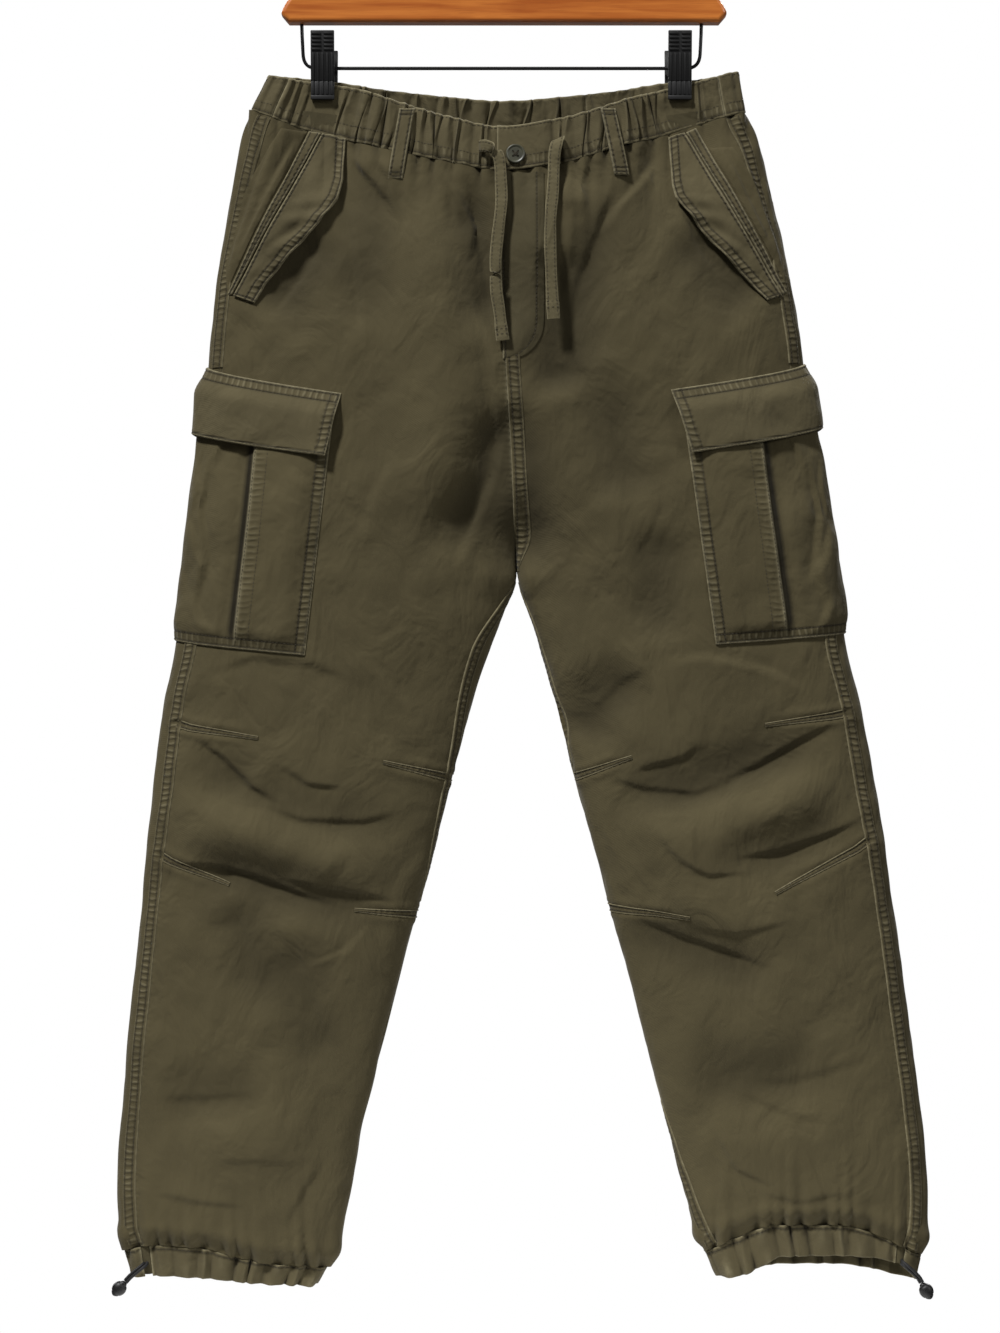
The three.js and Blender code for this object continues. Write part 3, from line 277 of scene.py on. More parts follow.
def clothMaterial(name, color, worn=0.6, puckers=1.0):
    material, tree, shader, place = newMaterial(name)
    deep = [c * 0.86 for c in color[:3]] + [1]
    pale = [min(1, c * 1.13) for c in color[:3]] + [1]
    blotches = tree.node("ShaderNodeTexNoise", {"Vector": place, "Scale": twill["blotches"], "Detail": 4.0})
    patches = tree.node("ShaderNodeTexNoise", {"Vector": place, "Scale": twill["patches"], "Detail": 5.0})
    yarn = tree.node("ShaderNodeTexNoise", {"Vector": place, "Scale": twill["yarn"], "Detail": 2.0})
    tone = tree.math("MULTIPLY_ADD", patches.outputs[0], 0.45,
                     tree.math("MULTIPLY", blotches.outputs[0], 0.55))
    base = tree.mixColor(tree.ramp(tone, 0.36, 0.66), deep, pale)
    base = tree.mixColor(tree.ramp(yarn.outputs[0], 0.4, 0.75), base, pale)
    wearAndHighlight = tree.node("ShaderNodeAttribute", attribute_name="wearAndHighlight").outputs["Fac"]
    seam = tree.node("ShaderNodeAttribute", attribute_name="seam").outputs["Fac"]
    run = tree.node("ShaderNodeAttribute", attribute_name="run").outputs["Fac"]
    groove = tree.node("ShaderNodeAttribute", attribute_name="groove").outputs["Fac"]
    breakUp = tree.node("ShaderNodeTexNoise", {"Vector": place, "Scale": 240.0, "Detail": 3.0})
    sway = tree.node("ShaderNodeTexNoise", {"Vector": place, "Scale": 60.0, "Detail": 2.0})
    phase = tree.math("MULTIPLY_ADD", run, 2 * math.pi / twill["puckerPitch"],
                      tree.math("MULTIPLY", sway.outputs[0], 7.0))
    pucker = tree.math("SINE", phase)
    uneven = tree.math("MULTIPLY_ADD", tree.ramp(patches.outputs[0], 0.35, 0.6), 0.8, 0.3)
    puckerHeight = tree.math("MULTIPLY", tree.math("MULTIPLY", pucker, seam), uneven)
    # Painted highlight: the raised side of each pucker is painted paler
    puckerTone = tree.math("MULTIPLY", tree.ramp(puckerHeight, 0.1, 1.0), 0.26 * puckers)
    base = tree.mixColor(tree.math("MULTIPLY", seam, 0.12), base, twill["seamAndShadeColor"])
    base = tree.mixColor(puckerTone, base, twill["wearAndHighlightColor"])
    # The groove attribute darkens the stitch rows, where the dark seam line is real, and the hollows of
    # folds, gathers and pleats, where the darkening is painted shade
    base = tree.mixColor(tree.math("MULTIPLY", groove, 1.15), base, twill["seamAndShadeColor"])
    # Edges are paler from real wear; the same attribute also carries painted highlights on the crests of
    # gathers
    wearAndHighlightShare = tree.math("MULTIPLY", wearAndHighlight, tree.math("MULTIPLY_ADD", tree.ramp(breakUp.outputs[0], 0.3, 0.65),
                                                0.6, 0.4))
    base = tree.mixColor(tree.math("MULTIPLY", wearAndHighlightShare, worn), base, twill["wearAndHighlightColor"])
    ribs = tree.node("ShaderNodeTexWave", {"Vector": place, "Scale": twill["ribs"], "Distortion": 1.5},
                     bands_direction="DIAGONAL")
    slanted = tree.node("ShaderNodeMapping", {"Vector": place, "Rotation": (0.0, 0.9, 0.0),
                                              "Scale": (1.0, 1.0, 0.7)})
    wrinkles = tree.node("ShaderNodeTexNoise", {"Vector": slanted.outputs[0], "Scale": twill["wrinkles"],
                                                "Detail": 5.0, "Distortion": 0.5})
    rumples = tree.node("ShaderNodeTexNoise", {"Vector": slanted.outputs[0], "Scale": twill["rumples"],
                                               "Detail": 3.0, "Distortion": 0.8})
    threads = tree.math("MULTIPLY_ADD", yarn.outputs[0], 0.6, ribs.outputs[1])
    weave = tree.node("ShaderNodeBump", {"Height": threads, "Strength": 0.22, "Distance": 0.0003})
    creased = tree.node("ShaderNodeBump", {"Height": wrinkles.outputs[0], "Strength": 0.4, "Distance": 0.003,
                                           "Normal": weave.outputs[0]})
    rumpled = tree.node("ShaderNodeBump", {"Height": rumples.outputs[0], "Strength": 0.6, "Distance": 0.009,
                                           "Normal": creased.outputs[0]})
    ridged = tree.node("ShaderNodeBump", {"Height": puckerHeight, "Strength": 0.4 * puckers,
                                          "Distance": 0.0011, "Normal": rumpled.outputs[0]})
    tree.tree.links.new(base, shader.inputs["Base Color"])
    tree.tree.links.new(ridged.outputs[0], shader.inputs["Normal"])
    shader.inputs["Roughness"].default_value = 0.88
    shader.inputs["Specular IOR Level"].default_value = 0.15
    shader.inputs["Sheen Weight"].default_value = 0.05
    shader.inputs["Sheen Roughness"].default_value = 0.5
    return material


def plainMaterial(name, color, roughness, metallic=0.0, scale=160.0, depth=0.0002, strength=0.25, vary=0.18):
    material, tree, shader, place = newMaterial(name)
    grain = tree.node("ShaderNodeTexNoise", {"Vector": place, "Scale": scale, "Detail": 4.0})
    dark = [c * (1 - vary) for c in color[:3]] + [1]
    pale = [min(1, c * (1 + vary)) for c in color[:3]] + [1]
    bump = tree.node("ShaderNodeBump", {"Height": grain.outputs[0], "Strength": strength, "Distance": depth})
    tree.tree.links.new(tree.mixColor(tree.ramp(grain.outputs[0], 0.35, 0.65), dark, pale),
                        shader.inputs["Base Color"])
    tree.tree.links.new(bump.outputs[0], shader.inputs["Normal"])
    shader.inputs["Roughness"].default_value = roughness
    shader.inputs["Metallic"].default_value = metallic
    return material


def woodMaterial():
    material, tree, shader, place = newMaterial("varnished wood")
    stretched = tree.node("ShaderNodeMapping", {"Vector": place, "Scale": (4, 60, 60)}).outputs[0]
    grain = tree.node("ShaderNodeTexNoise", {"Vector": stretched, "Scale": 2.2, "Detail": 8.0,
                                             "Distortion": 0.6})
    pores = tree.node("ShaderNodeMapping", {"Vector": place, "Scale": (30, 900, 900)}).outputs[0]
    fine = tree.node("ShaderNodeTexNoise", {"Vector": pores, "Scale": 1.5, "Detail": 3.0})
    base = tree.mixColor(tree.ramp(grain.outputs[0], 0.35, 0.68), linear(166, 84, 22), linear(206, 122, 48))
    base = tree.mixColor(tree.math("MULTIPLY", tree.ramp(fine.outputs[0], 0.55, 0.75), 0.35), base,
                         linear(120, 58, 16))
    bump = tree.node("ShaderNodeBump", {"Height": fine.outputs[0], "Strength": 0.12, "Distance": 0.0003})
    tree.tree.links.new(base, shader.inputs["Base Color"])
    tree.tree.links.new(bump.outputs[0], shader.inputs["Normal"])
    shader.inputs["Roughness"].default_value = 0.34
    shader.inputs["Coat Weight"].default_value = 0.35
    shader.inputs["Coat Roughness"].default_value = 0.2
    return material


finishes = {
    "cloth": clothMaterial("washed twill", linear(74, 67, 46)),
    # A paler copy of the cloth, for the doubled pieces
    "clothWorn": clothMaterial("washed twill, doubled", linear(79, 72, 51)),
    # A darker copy of the cloth: painted shade, on the fly and on the allowances and tucks inside
    "clothDark": clothMaterial("washed twill, shaded fly", linear(68, 62, 43)),
    "tape": clothMaterial("stitched tape", linear(88, 81, 59), 0.8, 0.7),
    "thread": plainMaterial("olive thread", linear(50, 44, 28), 0.8, scale=900.0),
    "button": plainMaterial("button resin", linear(62, 62, 48), 0.42, scale=90.0, vary=0.3),
    "wood": woodMaterial(),
    "steel": plainMaterial("polished steel", linear(190, 192, 196), 0.24, 1.0, scale=500.0, strength=0.05,
                           vary=0.05),
    "blackWire": plainMaterial("black painted wire", linear(8, 8, 9), 0.38, scale=700.0, strength=0.1),
    "blackPlastic": plainMaterial("black plastic", linear(5, 5, 5), 0.5, scale=900.0, strength=0.15),
    "elastic": plainMaterial("black elastic cord", linear(10, 10, 11), 0.7, scale=1400.0, strength=0.6),
}


def finish(thing, kind, *nodes):
    # Gives a piece its material and its body, and hides the solids that it stands for
    if not thing.data.materials:
        thing.data.materials.append(finishes[kind])
    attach(thing, "root")
    if nodes:
        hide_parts(*nodes)
    return thing


print("materials made")

# Drawstrings and hem cords

drawstring = {"width": 10, "thickness": 1.8, "rings": 120, "foldLength": 15, "foldExtra": 1.1,
              "rungPitch": 4.6}
tapeRoutes = {  # x, y, drop and how far the tape is turned about its line
    "left": [(-20.6, -23.9, 223.6, 88), (-18.8, -28.2, 223.8, 84), (-14.4, -32, 224.8, 76),
             (-8.6, -34.8, 228, 50), (-4.6, -35.8, 234, 22), (-3.2, -36.2, 243, 5), (-2.6, -38, 256, 0),
             (-2.2, -40, 272, 0), (-4, -41.6, 290, 6), (-5.8, -42.6, 306, 16), (-7, -43.4, 320, 44),
             (-7, -44, 334, 92), (-6.4, -44.6, 348, 158), (-4, -45, 364, 184), (-2.4, -45.2, 378, 188),
             (-1, -45.2, 389, 188)],
    "right": [(46, -25.9, 217.5, -30), (46, -30, 218.4, -26), (44.2, -33, 222.4, -20),
              (42.6, -34.6, 229.4, 10),
              (41.8, -35.4, 240, 34), (41.4, -37, 252, 46), (40.6, -39, 266, 44), (39.2, -40.6, 280, 26),
              (38.6, -41.6, 294, 10), (38.6, -42.6, 309, 2), (39, -43.2, 324, -3), (39.6, -43.8, 340, -3),
              (40.4, -44.2, 356, -2), (41.4, -44.4, 371, -2)],
}
stitchPaths = []  # each is points and the cloth's normals, in millimetres


def sew(outer, normal, rows, columns, lift=0.12):
    place, out = outer[rows, columns], normal[rows, columns]
    stitchPaths.append((place + out * lift, out))


def nearest(values, wanted):
    return np.abs(values - wanted).argmin(-1)


def tapeFrames(route):
    line = curveThrough(route, drawstring["rings"])
    centres = line[:, :3] * [1, 1, -1]
    forward = unit(np.gradient(centres, axis=0))
    turn = np.radians(line[:, 3])
    lean = np.stack([np.cos(turn), np.zeros(len(turn)), -np.sin(turn)], 1)
    across = unit(lean - forward * (lean * forward).sum(1, keepdims=True))
    return centres, across, np.cross(forward, across)


def makeDrawstrings():
    for side, route in tapeRoutes.items():
        centres, across, out = tapeFrames(route)
        steps = np.linalg.norm(np.diff(centres, axis=0), axis=1)
        along = np.concatenate([[0], np.cumsum(steps)])
        length = along[-1]
        folded = smooth((along - (length - drawstring["foldLength"])) / 1.2)
        rungs = 0.16 * np.sin(2 * math.pi * along / drawstring["rungPitch"] + np.sin(along / 9))
        thickness = drawstring["thickness"] - 0.3 + rungs + drawstring["foldExtra"] * folded
        width = drawstring["width"] * (1 + 0.03 * np.sin(along / 7)) + 0.8 * folded
        sides = 20
        turn = np.arange(sides) / sides * 2 * math.pi
        edge = np.clip((np.abs(np.cos(turn)) ** 0.5 - 0.9) / 0.08, 0, 1)
        inside = np.exp(-((np.abs(np.cos(turn)) ** 0.5 - 0.7) / 0.18) ** 2)
        values = {
            "wearAndHighlight": (np.broadcast_to(edge, (len(along), sides))).ravel(),
            "seam": (np.broadcast_to(inside, (len(along), sides)) * 0.8).ravel(),
            "run": np.repeat(along * twill["puckerPitch"] / drawstring["rungPitch"], sides),
        }
        tape = sweepMesh(f"drawstring_{side}_tape", centres, across, out, width, thickness, sides, 0.5,
                         values)
        finish(tape, "tape", f"drawstring_{side}")
        for face in (-1, 1):
            for offset in (-0.33, 0.33):
                lift = out * (thickness / 2 + 0.05)[:, None] * face
                row = centres + across * (offset * width)[:, None] + lift
                stitchPaths.append((row[3:-4], out[3:-4] * face))
            end = len(along) - 1 - int(len(along) * drawstring["foldLength"] / length * 0.8)
            for ring in (end, end + 3):
                shares = np.linspace(-0.38, 0.38, 12)[:, None]
                row = centres[ring] + across[ring] * shares * width[ring]
                row = row + out[ring] * (thickness[ring] / 2 + 0.1) * face
                stitchPaths.append((row, np.repeat(out[ring][None] * face, 12, 0)))


hemCord = {"strand": 2.6, "apart": 1.35, "rings": 60}
hemCordRoutes = {
    "left": [(-303, -3, 1165), (-303, -8, 1165.5), (-303.6, -12, 1166.5), (-306.4, -14.8, 1168.6),
             (-311, -14.8, 1172.4), (-316, -13.4, 1176.8), (-320, -12, 1181.2)],
    "right": [(336, -3, 1164.4), (336.4, -8, 1165), (337.6, -12.6, 1166), (341.4, -14.8, 1169),
              (346, -14.4, 1173), (350.2, -13, 1177.4), (353, -12, 1182)],
}
cordLock = {"long": 17, "wide": 12, "thick": 9, "gap": 0.3}


def makeLock(side, end, forward):
    # Egg-shaped lock with a waist at its neck and a pressed-in button at its far end
    steps, sides = 40, 28
    share = np.linspace(0, 1, steps)
    radius = np.sin(math.pi * share) ** 0.55 * (0.86 + 0.14 * np.sin(math.pi * share))
    neck, groove = np.exp(-((share - 0.16) / 0.05) ** 2), np.exp(-((share - 0.8) / 0.025) ** 2)
    radius = radius * (1 - 0.16 * neck - 0.2 * groove)
    radius = np.maximum(radius, 0.02)
    centres = end + forward * (cordLock["gap"] + share * cordLock["long"])[:, None]
    side2 = unit(np.cross(forward, [0, 1, 0]))
    out = unit(np.cross(side2, forward))
    lock = sweepMesh(f"cord_lock_{side}_body", centres, np.repeat(side2[None], steps, 0),
                     np.repeat(out[None], steps, 0),
                     radius * cordLock["wide"], radius * cordLock["thick"], sides, 0.9, angle=80)
    return finish(lock, "blackPlastic", f"cord_lock_{side}")


def makeHemCords():
    for side, route in hemCordRoutes.items():
        line = curveThrough(route, hemCord["rings"])
        centres = line * [1, 1, -1]
        forward = unit(np.gradient(centres, axis=0))
        across = unit(np.cross(forward, [0, 1, 0]) + forward[:, [1, 0, 2]] * 0.001)
        out = np.cross(forward, across)
        strands = []
        for shift in (-1, 1):
            centre = centres + (across * 0.8 + out * 0.6) * shift * hemCord["apart"]
            strands.append(sweepMesh("strand", centre, across, out, hemCord["strand"], hemCord["strand"],
                                     14, 1))
        cord = joinedObjects(strands, f"hem_cord_{side}_elastic")
        finish(cord, "elastic", f"hem_cord_{side}")
        lock = makeLock(side, centres[-1], forward[-1])


def joinedObjects(things, name):
    meshes = [thing.data for thing in things]
    work = bmesh.new()
    for mesh in meshes:
        work.from_mesh(mesh)
    joined = bpy.data.meshes.new(name)
    for material in meshes[0].materials:
        joined.materials.append(material)
    work.to_mesh(joined)
    work.free()
    for thing in things:
        bpy.data.objects.remove(thing)
    return linked(name, joined)


makeDrawstrings()
makeHemCords()
print("cords made")

# The cloth's surface, from the same sizes as the solids


def columns(names, *rows):
    numbers = np.array(rows, float)
    return {name: numbers[:, i] for i, name in enumerate(names.split())}


sizes = {
    "waistTop": 152, "waistSeam": 188, "riseStart": 455, "crotch": 583, "hemSeam": 1150, "hemEnd": 1178,
    "waistReach": 150, "hemReach": 110, "fullness": 0.8, "riseShape": 1.4,
    "pinchHalf": 3, "pinchWidth": 36, "pinchTo": 186, "pinchFades": 330,
    "clipLeft": -153.8, "clipRight": 149.1, "bandHalfLeft": 219, "bandHalfRight": 212,
}
outline = columns(
    "drop outLeft inLeft inRight outRight front back",
    (152, -201, 0, 0, 200, 22, 13), (188, -216.5, 0, 0, 207, 25, 16), (222, -224.4, 0, 0, 218.4, 29, 20),
    (265, -232.9, 0, 0, 228.6, 33, 26), (307, -240.6, 0, 0, 238.8, 36, 31), (350, -246, 0, 0, 246.5, 38, 35),
    (392, -249.9, 1, 1, 253.3, 39, 38), (477, -257, 6, 6, 264, 39, 39), (562, -268, 10, 10, 279, 37, 37),
    (583, -271, 10.6, 11.4, 282, 37, 36), (605, -273.5, 3, 19.1, 285.5, 36, 36),
    (647, -279, -12.8, 32.3, 291, 36, 35), (690, -289, -26.3, 44.2, 302.6, 35, 34),
    (775, -299.2, -49.3, 66.3, 317.1, 35, 32), (860, -307.7, -71.4, 88.4, 329.8, 33, 31),
    (945, -316.2, -94.4, 111.3, 341.3, 31, 30), (1030, -323.8, -114.8, 133.4, 352.8, 29, 28),
    (1105, -328, -132.5, 154, 360, 28, 26), (1132, -327.5, -140, 162, 359, 26, 25),
    (1150, -323, -147, 169, 355, 20, 20), (1178, -318, -157, 180, 352, 18, 18),
)
seamInsets = columns(
    "drop outseam inseamLeft inseamRight",
    (152, 20, 0, 0), (350, 13, 0, 0), (583, 17, 0, 0), (647, 19, 14, 1), (745, 19, 6, 0), (860, 16, 0, -3),
    (1030, 16, -4, 0), (1150, 17, -5, 11), (1178, 18, -5, 12),
)
waistSag = columns(
    "across frontTop frontSeam backTop backSeam",
    (-1, 155.8, 188, 155.8, 188), (-0.82, 162.6, 203, 160, 196), (-0.62, 168.5, 215, 165, 202),
    (-0.42, 183.5, 227.5, 170, 208), (-0.22, 196.6, 236.5, 174.5, 212.5), (0, 206, 244, 178, 215),
    (0.23, 198.3, 238, 174.5, 212.5), (0.4, 188, 227, 171, 208), (0.6, 173.6, 214, 166, 203),
    (0.77, 164.5, 202.5, 162, 198), (1, 152.4, 190, 152.4, 190),
)
hemSag = {
    "left": columns(
        "across frontTop frontEnd backTop backEnd",
        (0, 1171, 1187, 1171, 1187), (0.39, 1162, 1182, 1162, 1184), (0.62, 1152, 1178, 1156, 1180),
        (0.85, 1150, 1177, 1152, 1178), (1, 1156, 1180, 1156, 1180),
    ),
    "right": columns(
        "across frontTop frontEnd backTop backEnd",
        (0, 1158, 1180, 1158, 1180), (0.12, 1146, 1177, 1153, 1178), (0.33, 1132, 1160, 1148, 1172),
        (0.6, 1132, 1159, 1148, 1172), (0.8, 1142, 1162, 1152, 1176), (0.9, 1152, 1168, 1156, 1180),
        (1, 1160, 1182, 1160, 1182),
    ),
}
# Large folds, in the same places as in the solids: width, depth (a ridge below 0) and path of x and drop
largeFolds = {
    "front": [
        (26, 4, [(-108, 235), (-112, 300), (-117, 390)]), (22, 7, [(-37, 245), (-22, 320), (-8, 395)]),
        (34, -5, [(-66, 245), (-50, 340), (-48, 470), (-56, 560)]),
        (22, 7, [(0, 430), (-18, 505), (-46, 575)]),
        (26, 6, [(88, 245), (62, 330), (48, 410), (52, 440)]), (28, -4, [(52, 245), (48, 290), (44, 330)]),
        (26, 5, [(-146, 290), (-176, 330), (-205, 372)]), (26, 5, [(148, 285), (182, 330), (216, 365)]),
        (26, 4, [(80, 404), (97, 480), (104, 530)]), (24, 6, [(13, 437), (16, 520), (26, 590)]),
        (24, 4, [(131, 540), (130, 590), (124, 650)]),
        (26, 5, [(-255, 725), (-222, 773), (-146, 798), (-80, 790)]),
        (34, -7, [(-285, 800), (-226, 800), (-160, 822), (-85, 845)]),
        (22, 8, [(-275, 830), (-226, 832), (-160, 852), (-88, 872)]),
        (22, 4, [(-225, 850), (-212, 895), (-207, 960)]),
        (24, 4, [(-180, 880), (-168, 940), (-146, 1020)]),
        (26, 3, [(-298, 1030), (-245, 1022), (-190, 1018)]),
        (26, -3, [(-280, 1062), (-220, 1060), (-150, 1050)]), (24, 5, [(60, 735), (78, 690), (120, 664)]),
        (26, 6, [(80, 762), (148, 768), (215, 746), (285, 722)]),
        (32, -6, [(90, 800), (160, 806), (225, 782), (300, 755)]),
        (24, 5, [(175, 822), (235, 812), (298, 782)]),
        (26, 6, [(100, 872), (165, 898), (240, 922)]), (30, -5, [(120, 850), (180, 872), (250, 893)]),
        (28, 4, [(140, 1003), (206, 1012), (285, 990)]), (28, -3, [(160, 1050), (230, 1058), (310, 1040)]),
    ],
    "back": [
        (30, 5, [(-95, 220), (-88, 320), (-60, 420)]), (30, 5, [(90, 220), (84, 320), (58, 420)]),
        (34, -5, [(-40, 240), (-52, 380), (-70, 500)]), (34, -5, [(42, 240), (54, 380), (74, 500)]),
        (26, 7, [(-4, 500), (-50, 555), (-120, 590)]), (26, 7, [(12, 500), (60, 552), (132, 585)]),
        (28, 6, [(-90, 660), (-150, 690), (-225, 700)]), (28, 6, [(100, 655), (160, 690), (240, 696)]),
        (32, -6, [(-80, 735), (-160, 750), (-250, 738)]), (32, -6, [(88, 735), (170, 748), (262, 735)]),
        (26, 7, [(-85, 790), (-165, 806), (-262, 780)]), (26, 7, [(92, 786), (180, 806), (275, 776)]),
        (28, 5, [(-110, 880), (-190, 900), (-265, 930)]), (28, 5, [(130, 875), (205, 905), (290, 935)]),
        (28, 4, [(-150, 1010), (-215, 1030), (-285, 1015)]), (28, 4, [(160, 1015), (240, 1028), (310, 1008)]),
    ],
}
foldTaper = 0.3
foldGain = 1.7
# Creases too fine for the solids: width, depth, the side that stands up (1 is the path's right hand)
# and path
creases = {
    "front": [
        # Hips and seat
        (6, 2.4, 1, [(-190, 205), (-208, 250), (-226, 300), (-236, 340)]),
        (5, 2.0, 1, [(-176, 212), (-200, 262), (-226, 318)]),
        (6, 2.4, -1, [(194, 205), (212, 250), (229, 300), (238, 334)]),
        (5, 2.0, -1, [(181, 212), (204, 262), (230, 316)]),
        (7, 2.6, 1, [(-132, 226), (-118, 246), (-98, 268), (-84, 294)]),
        (6, 2.2, -1, [(-54, 238), (-38, 262), (-24, 290), (-30, 330)]),
        (5, 1.8, 1, [(-108, 232), (-98, 252), (-94, 276)]),
        (6, 2.4, 1, [(132, 226), (116, 252), (94, 276), (80, 300)]),
        (5, 1.8, -1, [(72, 232), (66, 256), (70, 284)]),
        (7, 2.2, 1, [(-136, 262), (-128, 300), (-121, 352), (-118, 400)]),
        (6, 1.8, -1, [(-34, 246), (-28, 275), (-20, 320), (-12, 365)]),
        (5, 1.3, 1, [(-50, 243), (-44, 262), (-40, 292)]),
        (8, 1.8, 1, [(-17, 372), (-10, 420), (-6, 470), (-12, 520)]),
        (7, 2.4, 1, [(2, 455), (-8, 500), (-26, 548), (-48, 590)]),
        (8, 2.0, -1, [(9, 470), (14, 530), (24, 590), (36, 640)]),
        (6, 1.6, 1, [(46, 250), (54, 280), (52, 320), (44, 372)]),
        (7, 2.0, -1, [(96, 246), (82, 284), (64, 330), (52, 372)]),
        (8, 1.6, 1, [(60, 392), (78, 440), (92, 492)]),
        (8, 1.6, -1, [(146, 262), (160, 300), (186, 340)]),
        (7, 1.7, 1, [(-150, 300), (-168, 330), (-196, 366)]),
        (9, 1.3, 1, [(-86, 470), (-110, 520), (-124, 566)]),
        (9, 1.2, -1, [(96, 500), (110, 548), (124, 590)]),
        # Thighs, above the knees
        (8, 1.7, 1, [(-252, 668), (-210, 654), (-160, 660), (-118, 676)]),
        (8, 1.4, -1, [(-130, 640), (-102, 668), (-78, 700)]),
        (8, 1.7, -1, [(126, 660), (170, 652), (222, 664), (262, 684)]),
        (8, 1.4, 1, [(72, 700), (96, 676), (128, 660)]),
        # Left knee
        (7, 2.2, 1, [(-266, 716), (-236, 738), (-212, 762), (-176, 784)]),
        (9, 2.0, 1, [(-214, 772), (-170, 790), (-120, 792), (-80, 782)]),
        (6, 1.6, 1, [(-192, 742), (-164, 760), (-130, 764)]),
        (7, 2.6, 1, [(-284, 826), (-250, 828), (-214, 836), (-172, 852), (-132, 866)]),
        (6, 1.8, 1, [(-196, 836), (-160, 846), (-118, 852), (-84, 862)]),
        (6, 1.3, 1, [(-234, 846), (-220, 878), (-210, 914), (-214, 944)]),
        (7, 1.4, 1, [(-176, 884), (-168, 920), (-152, 962), (-138, 1004)]),
        (7, 1.2, 1, [(-112, 876), (-134, 900), (-168, 914)]),
        (7, 1.1, 1, [(-196, 896), (-176, 930), (-170, 952)]),
        # Right knee
        (7, 2.2, -1, [(284, 706), (250, 722), (214, 744), (172, 762)]),
        (9, 1.9, 1, [(78, 752), (116, 764), (160, 768), (206, 752)]),
        (6, 1.5, 1, [(104, 752), (124, 744), (150, 738), (176, 720)]),
        (7, 2.4, -1, [(308, 786), (270, 804), (232, 816), (186, 824)]),
        (6, 1.6, 1, [(120, 790), (146, 822), (170, 836), (214, 834)]),
        (7, 1.8, 1, [(104, 870), (142, 886), (186, 900), (232, 918)]),
        (6, 1.3, -1, [(166, 776), (158, 806), (166, 840)]),
        (7, 1.2, 1, [(150, 880), (196, 886), (248, 872)]),
        # Shins
        (9, 1.3, 1, [(-300, 1026), (-250, 1024), (-200, 1020)]),
        (9, 1.2, 1, [(-258, 1080), (-210, 1076), (-160, 1082)]),
        (9, 1.5, 1, [(-296, 1104), (-256, 1112), (-214, 1116)]),
        (8, 1.4, 1, [(-186, 1136), (-170, 1104), (-150, 1072)]),
        (9, 1.3, -1, [(318, 982), (280, 998), (240, 1010), (200, 1012)]),
        (8, 1.5, 1, [(176, 1050), (196, 1084), (230, 1100)]),
        (8, 1.3, 1, [(190, 1016), (230, 1034), (280, 1046)]),
        (9, 1.4, 1, [(214, 1104), (250, 1112), (290, 1102)]),
    ],
    "back": [
        (7, 2.0, 1, [(-128, 240), (-118, 290), (-100, 350)]),
        (7, 2.0, -1, [(120, 240), (112, 290), (94, 350)]),
        (6, 1.5, 1, [(-40, 236), (-34, 280), (-26, 330)]), (6, 1.5, -1, [(44, 236), (38, 280), (30, 330)]),
        (8, 2.2, 1, [(0, 505), (-36, 545), (-84, 578)]), (8, 2.2, -1, [(10, 505), (46, 545), (96, 576)]),
        (8, 1.8, 1, [(-20, 600), (-70, 626), (-130, 640)]), (8, 1.8, -1, [(34, 600), (84, 626), (146, 640)]),
        (8, 2.2, 1, [(-84, 786), (-130, 800), (-190, 800), (-250, 784)]),
        (8, 2.2, -1, [(96, 782), (150, 798), (210, 798), (268, 780)]),
        (7, 1.8, 1, [(-96, 724), (-150, 742), (-210, 736)]),
        (7, 1.8, -1, [(104, 722), (160, 740), (226, 734)]),
        (7, 1.7, 1, [(-110, 840), (-160, 852), (-230, 846)]),
        (7, 1.7, -1, [(120, 838), (176, 850), (250, 842)]),
        (8, 1.4, 1, [(-130, 930), (-190, 950), (-250, 990)]),
        (8, 1.4, -1, [(150, 926), (210, 950), (272, 988)]),
        (9, 1.3, 1, [(-290, 1060), (-240, 1072), (-180, 1066)]),
        (9, 1.3, 1, [(190, 1060), (250, 1070), (310, 1056)]),
        (9, 1.4, 1, [(-300, 1106), (-250, 1112), (-190, 1106)]),
        (9, 1.4, 1, [(200, 1102), (260, 1110), (330, 1100)]),
    ],
}
# Sewn darts at the knees, from the seam to the tip
darts = [
    [(-276, 709), (-263.6, 712.7), (-206.5, 721.1)], [(-44, 755), (-49.6, 753.9), (-101.6, 741.3)],
    [(-288, 821), (-280.4, 825.2), (-231.7, 844.5)], [(-70, 871), (-74.7, 870.5), (-125.1, 866.3)],
    [(290, 700), (276.1, 702.7), (219, 710.2)], [(60, 754), (61.2, 753.9), (107.4, 737.1)],
    [(306, 808), (296.3, 815.1), (227.4, 851.2)], [(88, 865), (91.5, 865.5), (156.1, 872.2)],
]
curves = {}


def along(table, key, column, value):
    # Value of a table's column, on a curve that never overshoots its rows
    name = (id(table), column)
    if name not in curves:
        xs, ys = table[key], table[column]
        steps = np.diff(xs)
        slopes = np.diff(ys) / steps
        before, after = slopes[:-1], slopes[1:]
        product = before * after
        middle = np.where(product > 0, 2 * product / np.where(product > 0, before + after, 1), 0)
        curves[name] = xs, ys, steps, np.concatenate([slopes[:1], middle, slopes[-1:]])
    xs, ys, steps, tangents = curves[name]
    row = np.clip(np.searchsorted(xs, value) - 1, 0, len(steps) - 1)
    h = steps[row]
    t = np.clip((value - xs[row]) / h, -0.2, 1.2)
    return ((2 * t ** 3 - 3 * t ** 2 + 1) * ys[row] + (t ** 3 - 2 * t ** 2 + t) * h * tangents[row]
            + (3 * t ** 2 - 2 * t ** 3) * ys[row + 1] + (t ** 3 - t ** 2) * h * tangents[row + 1])


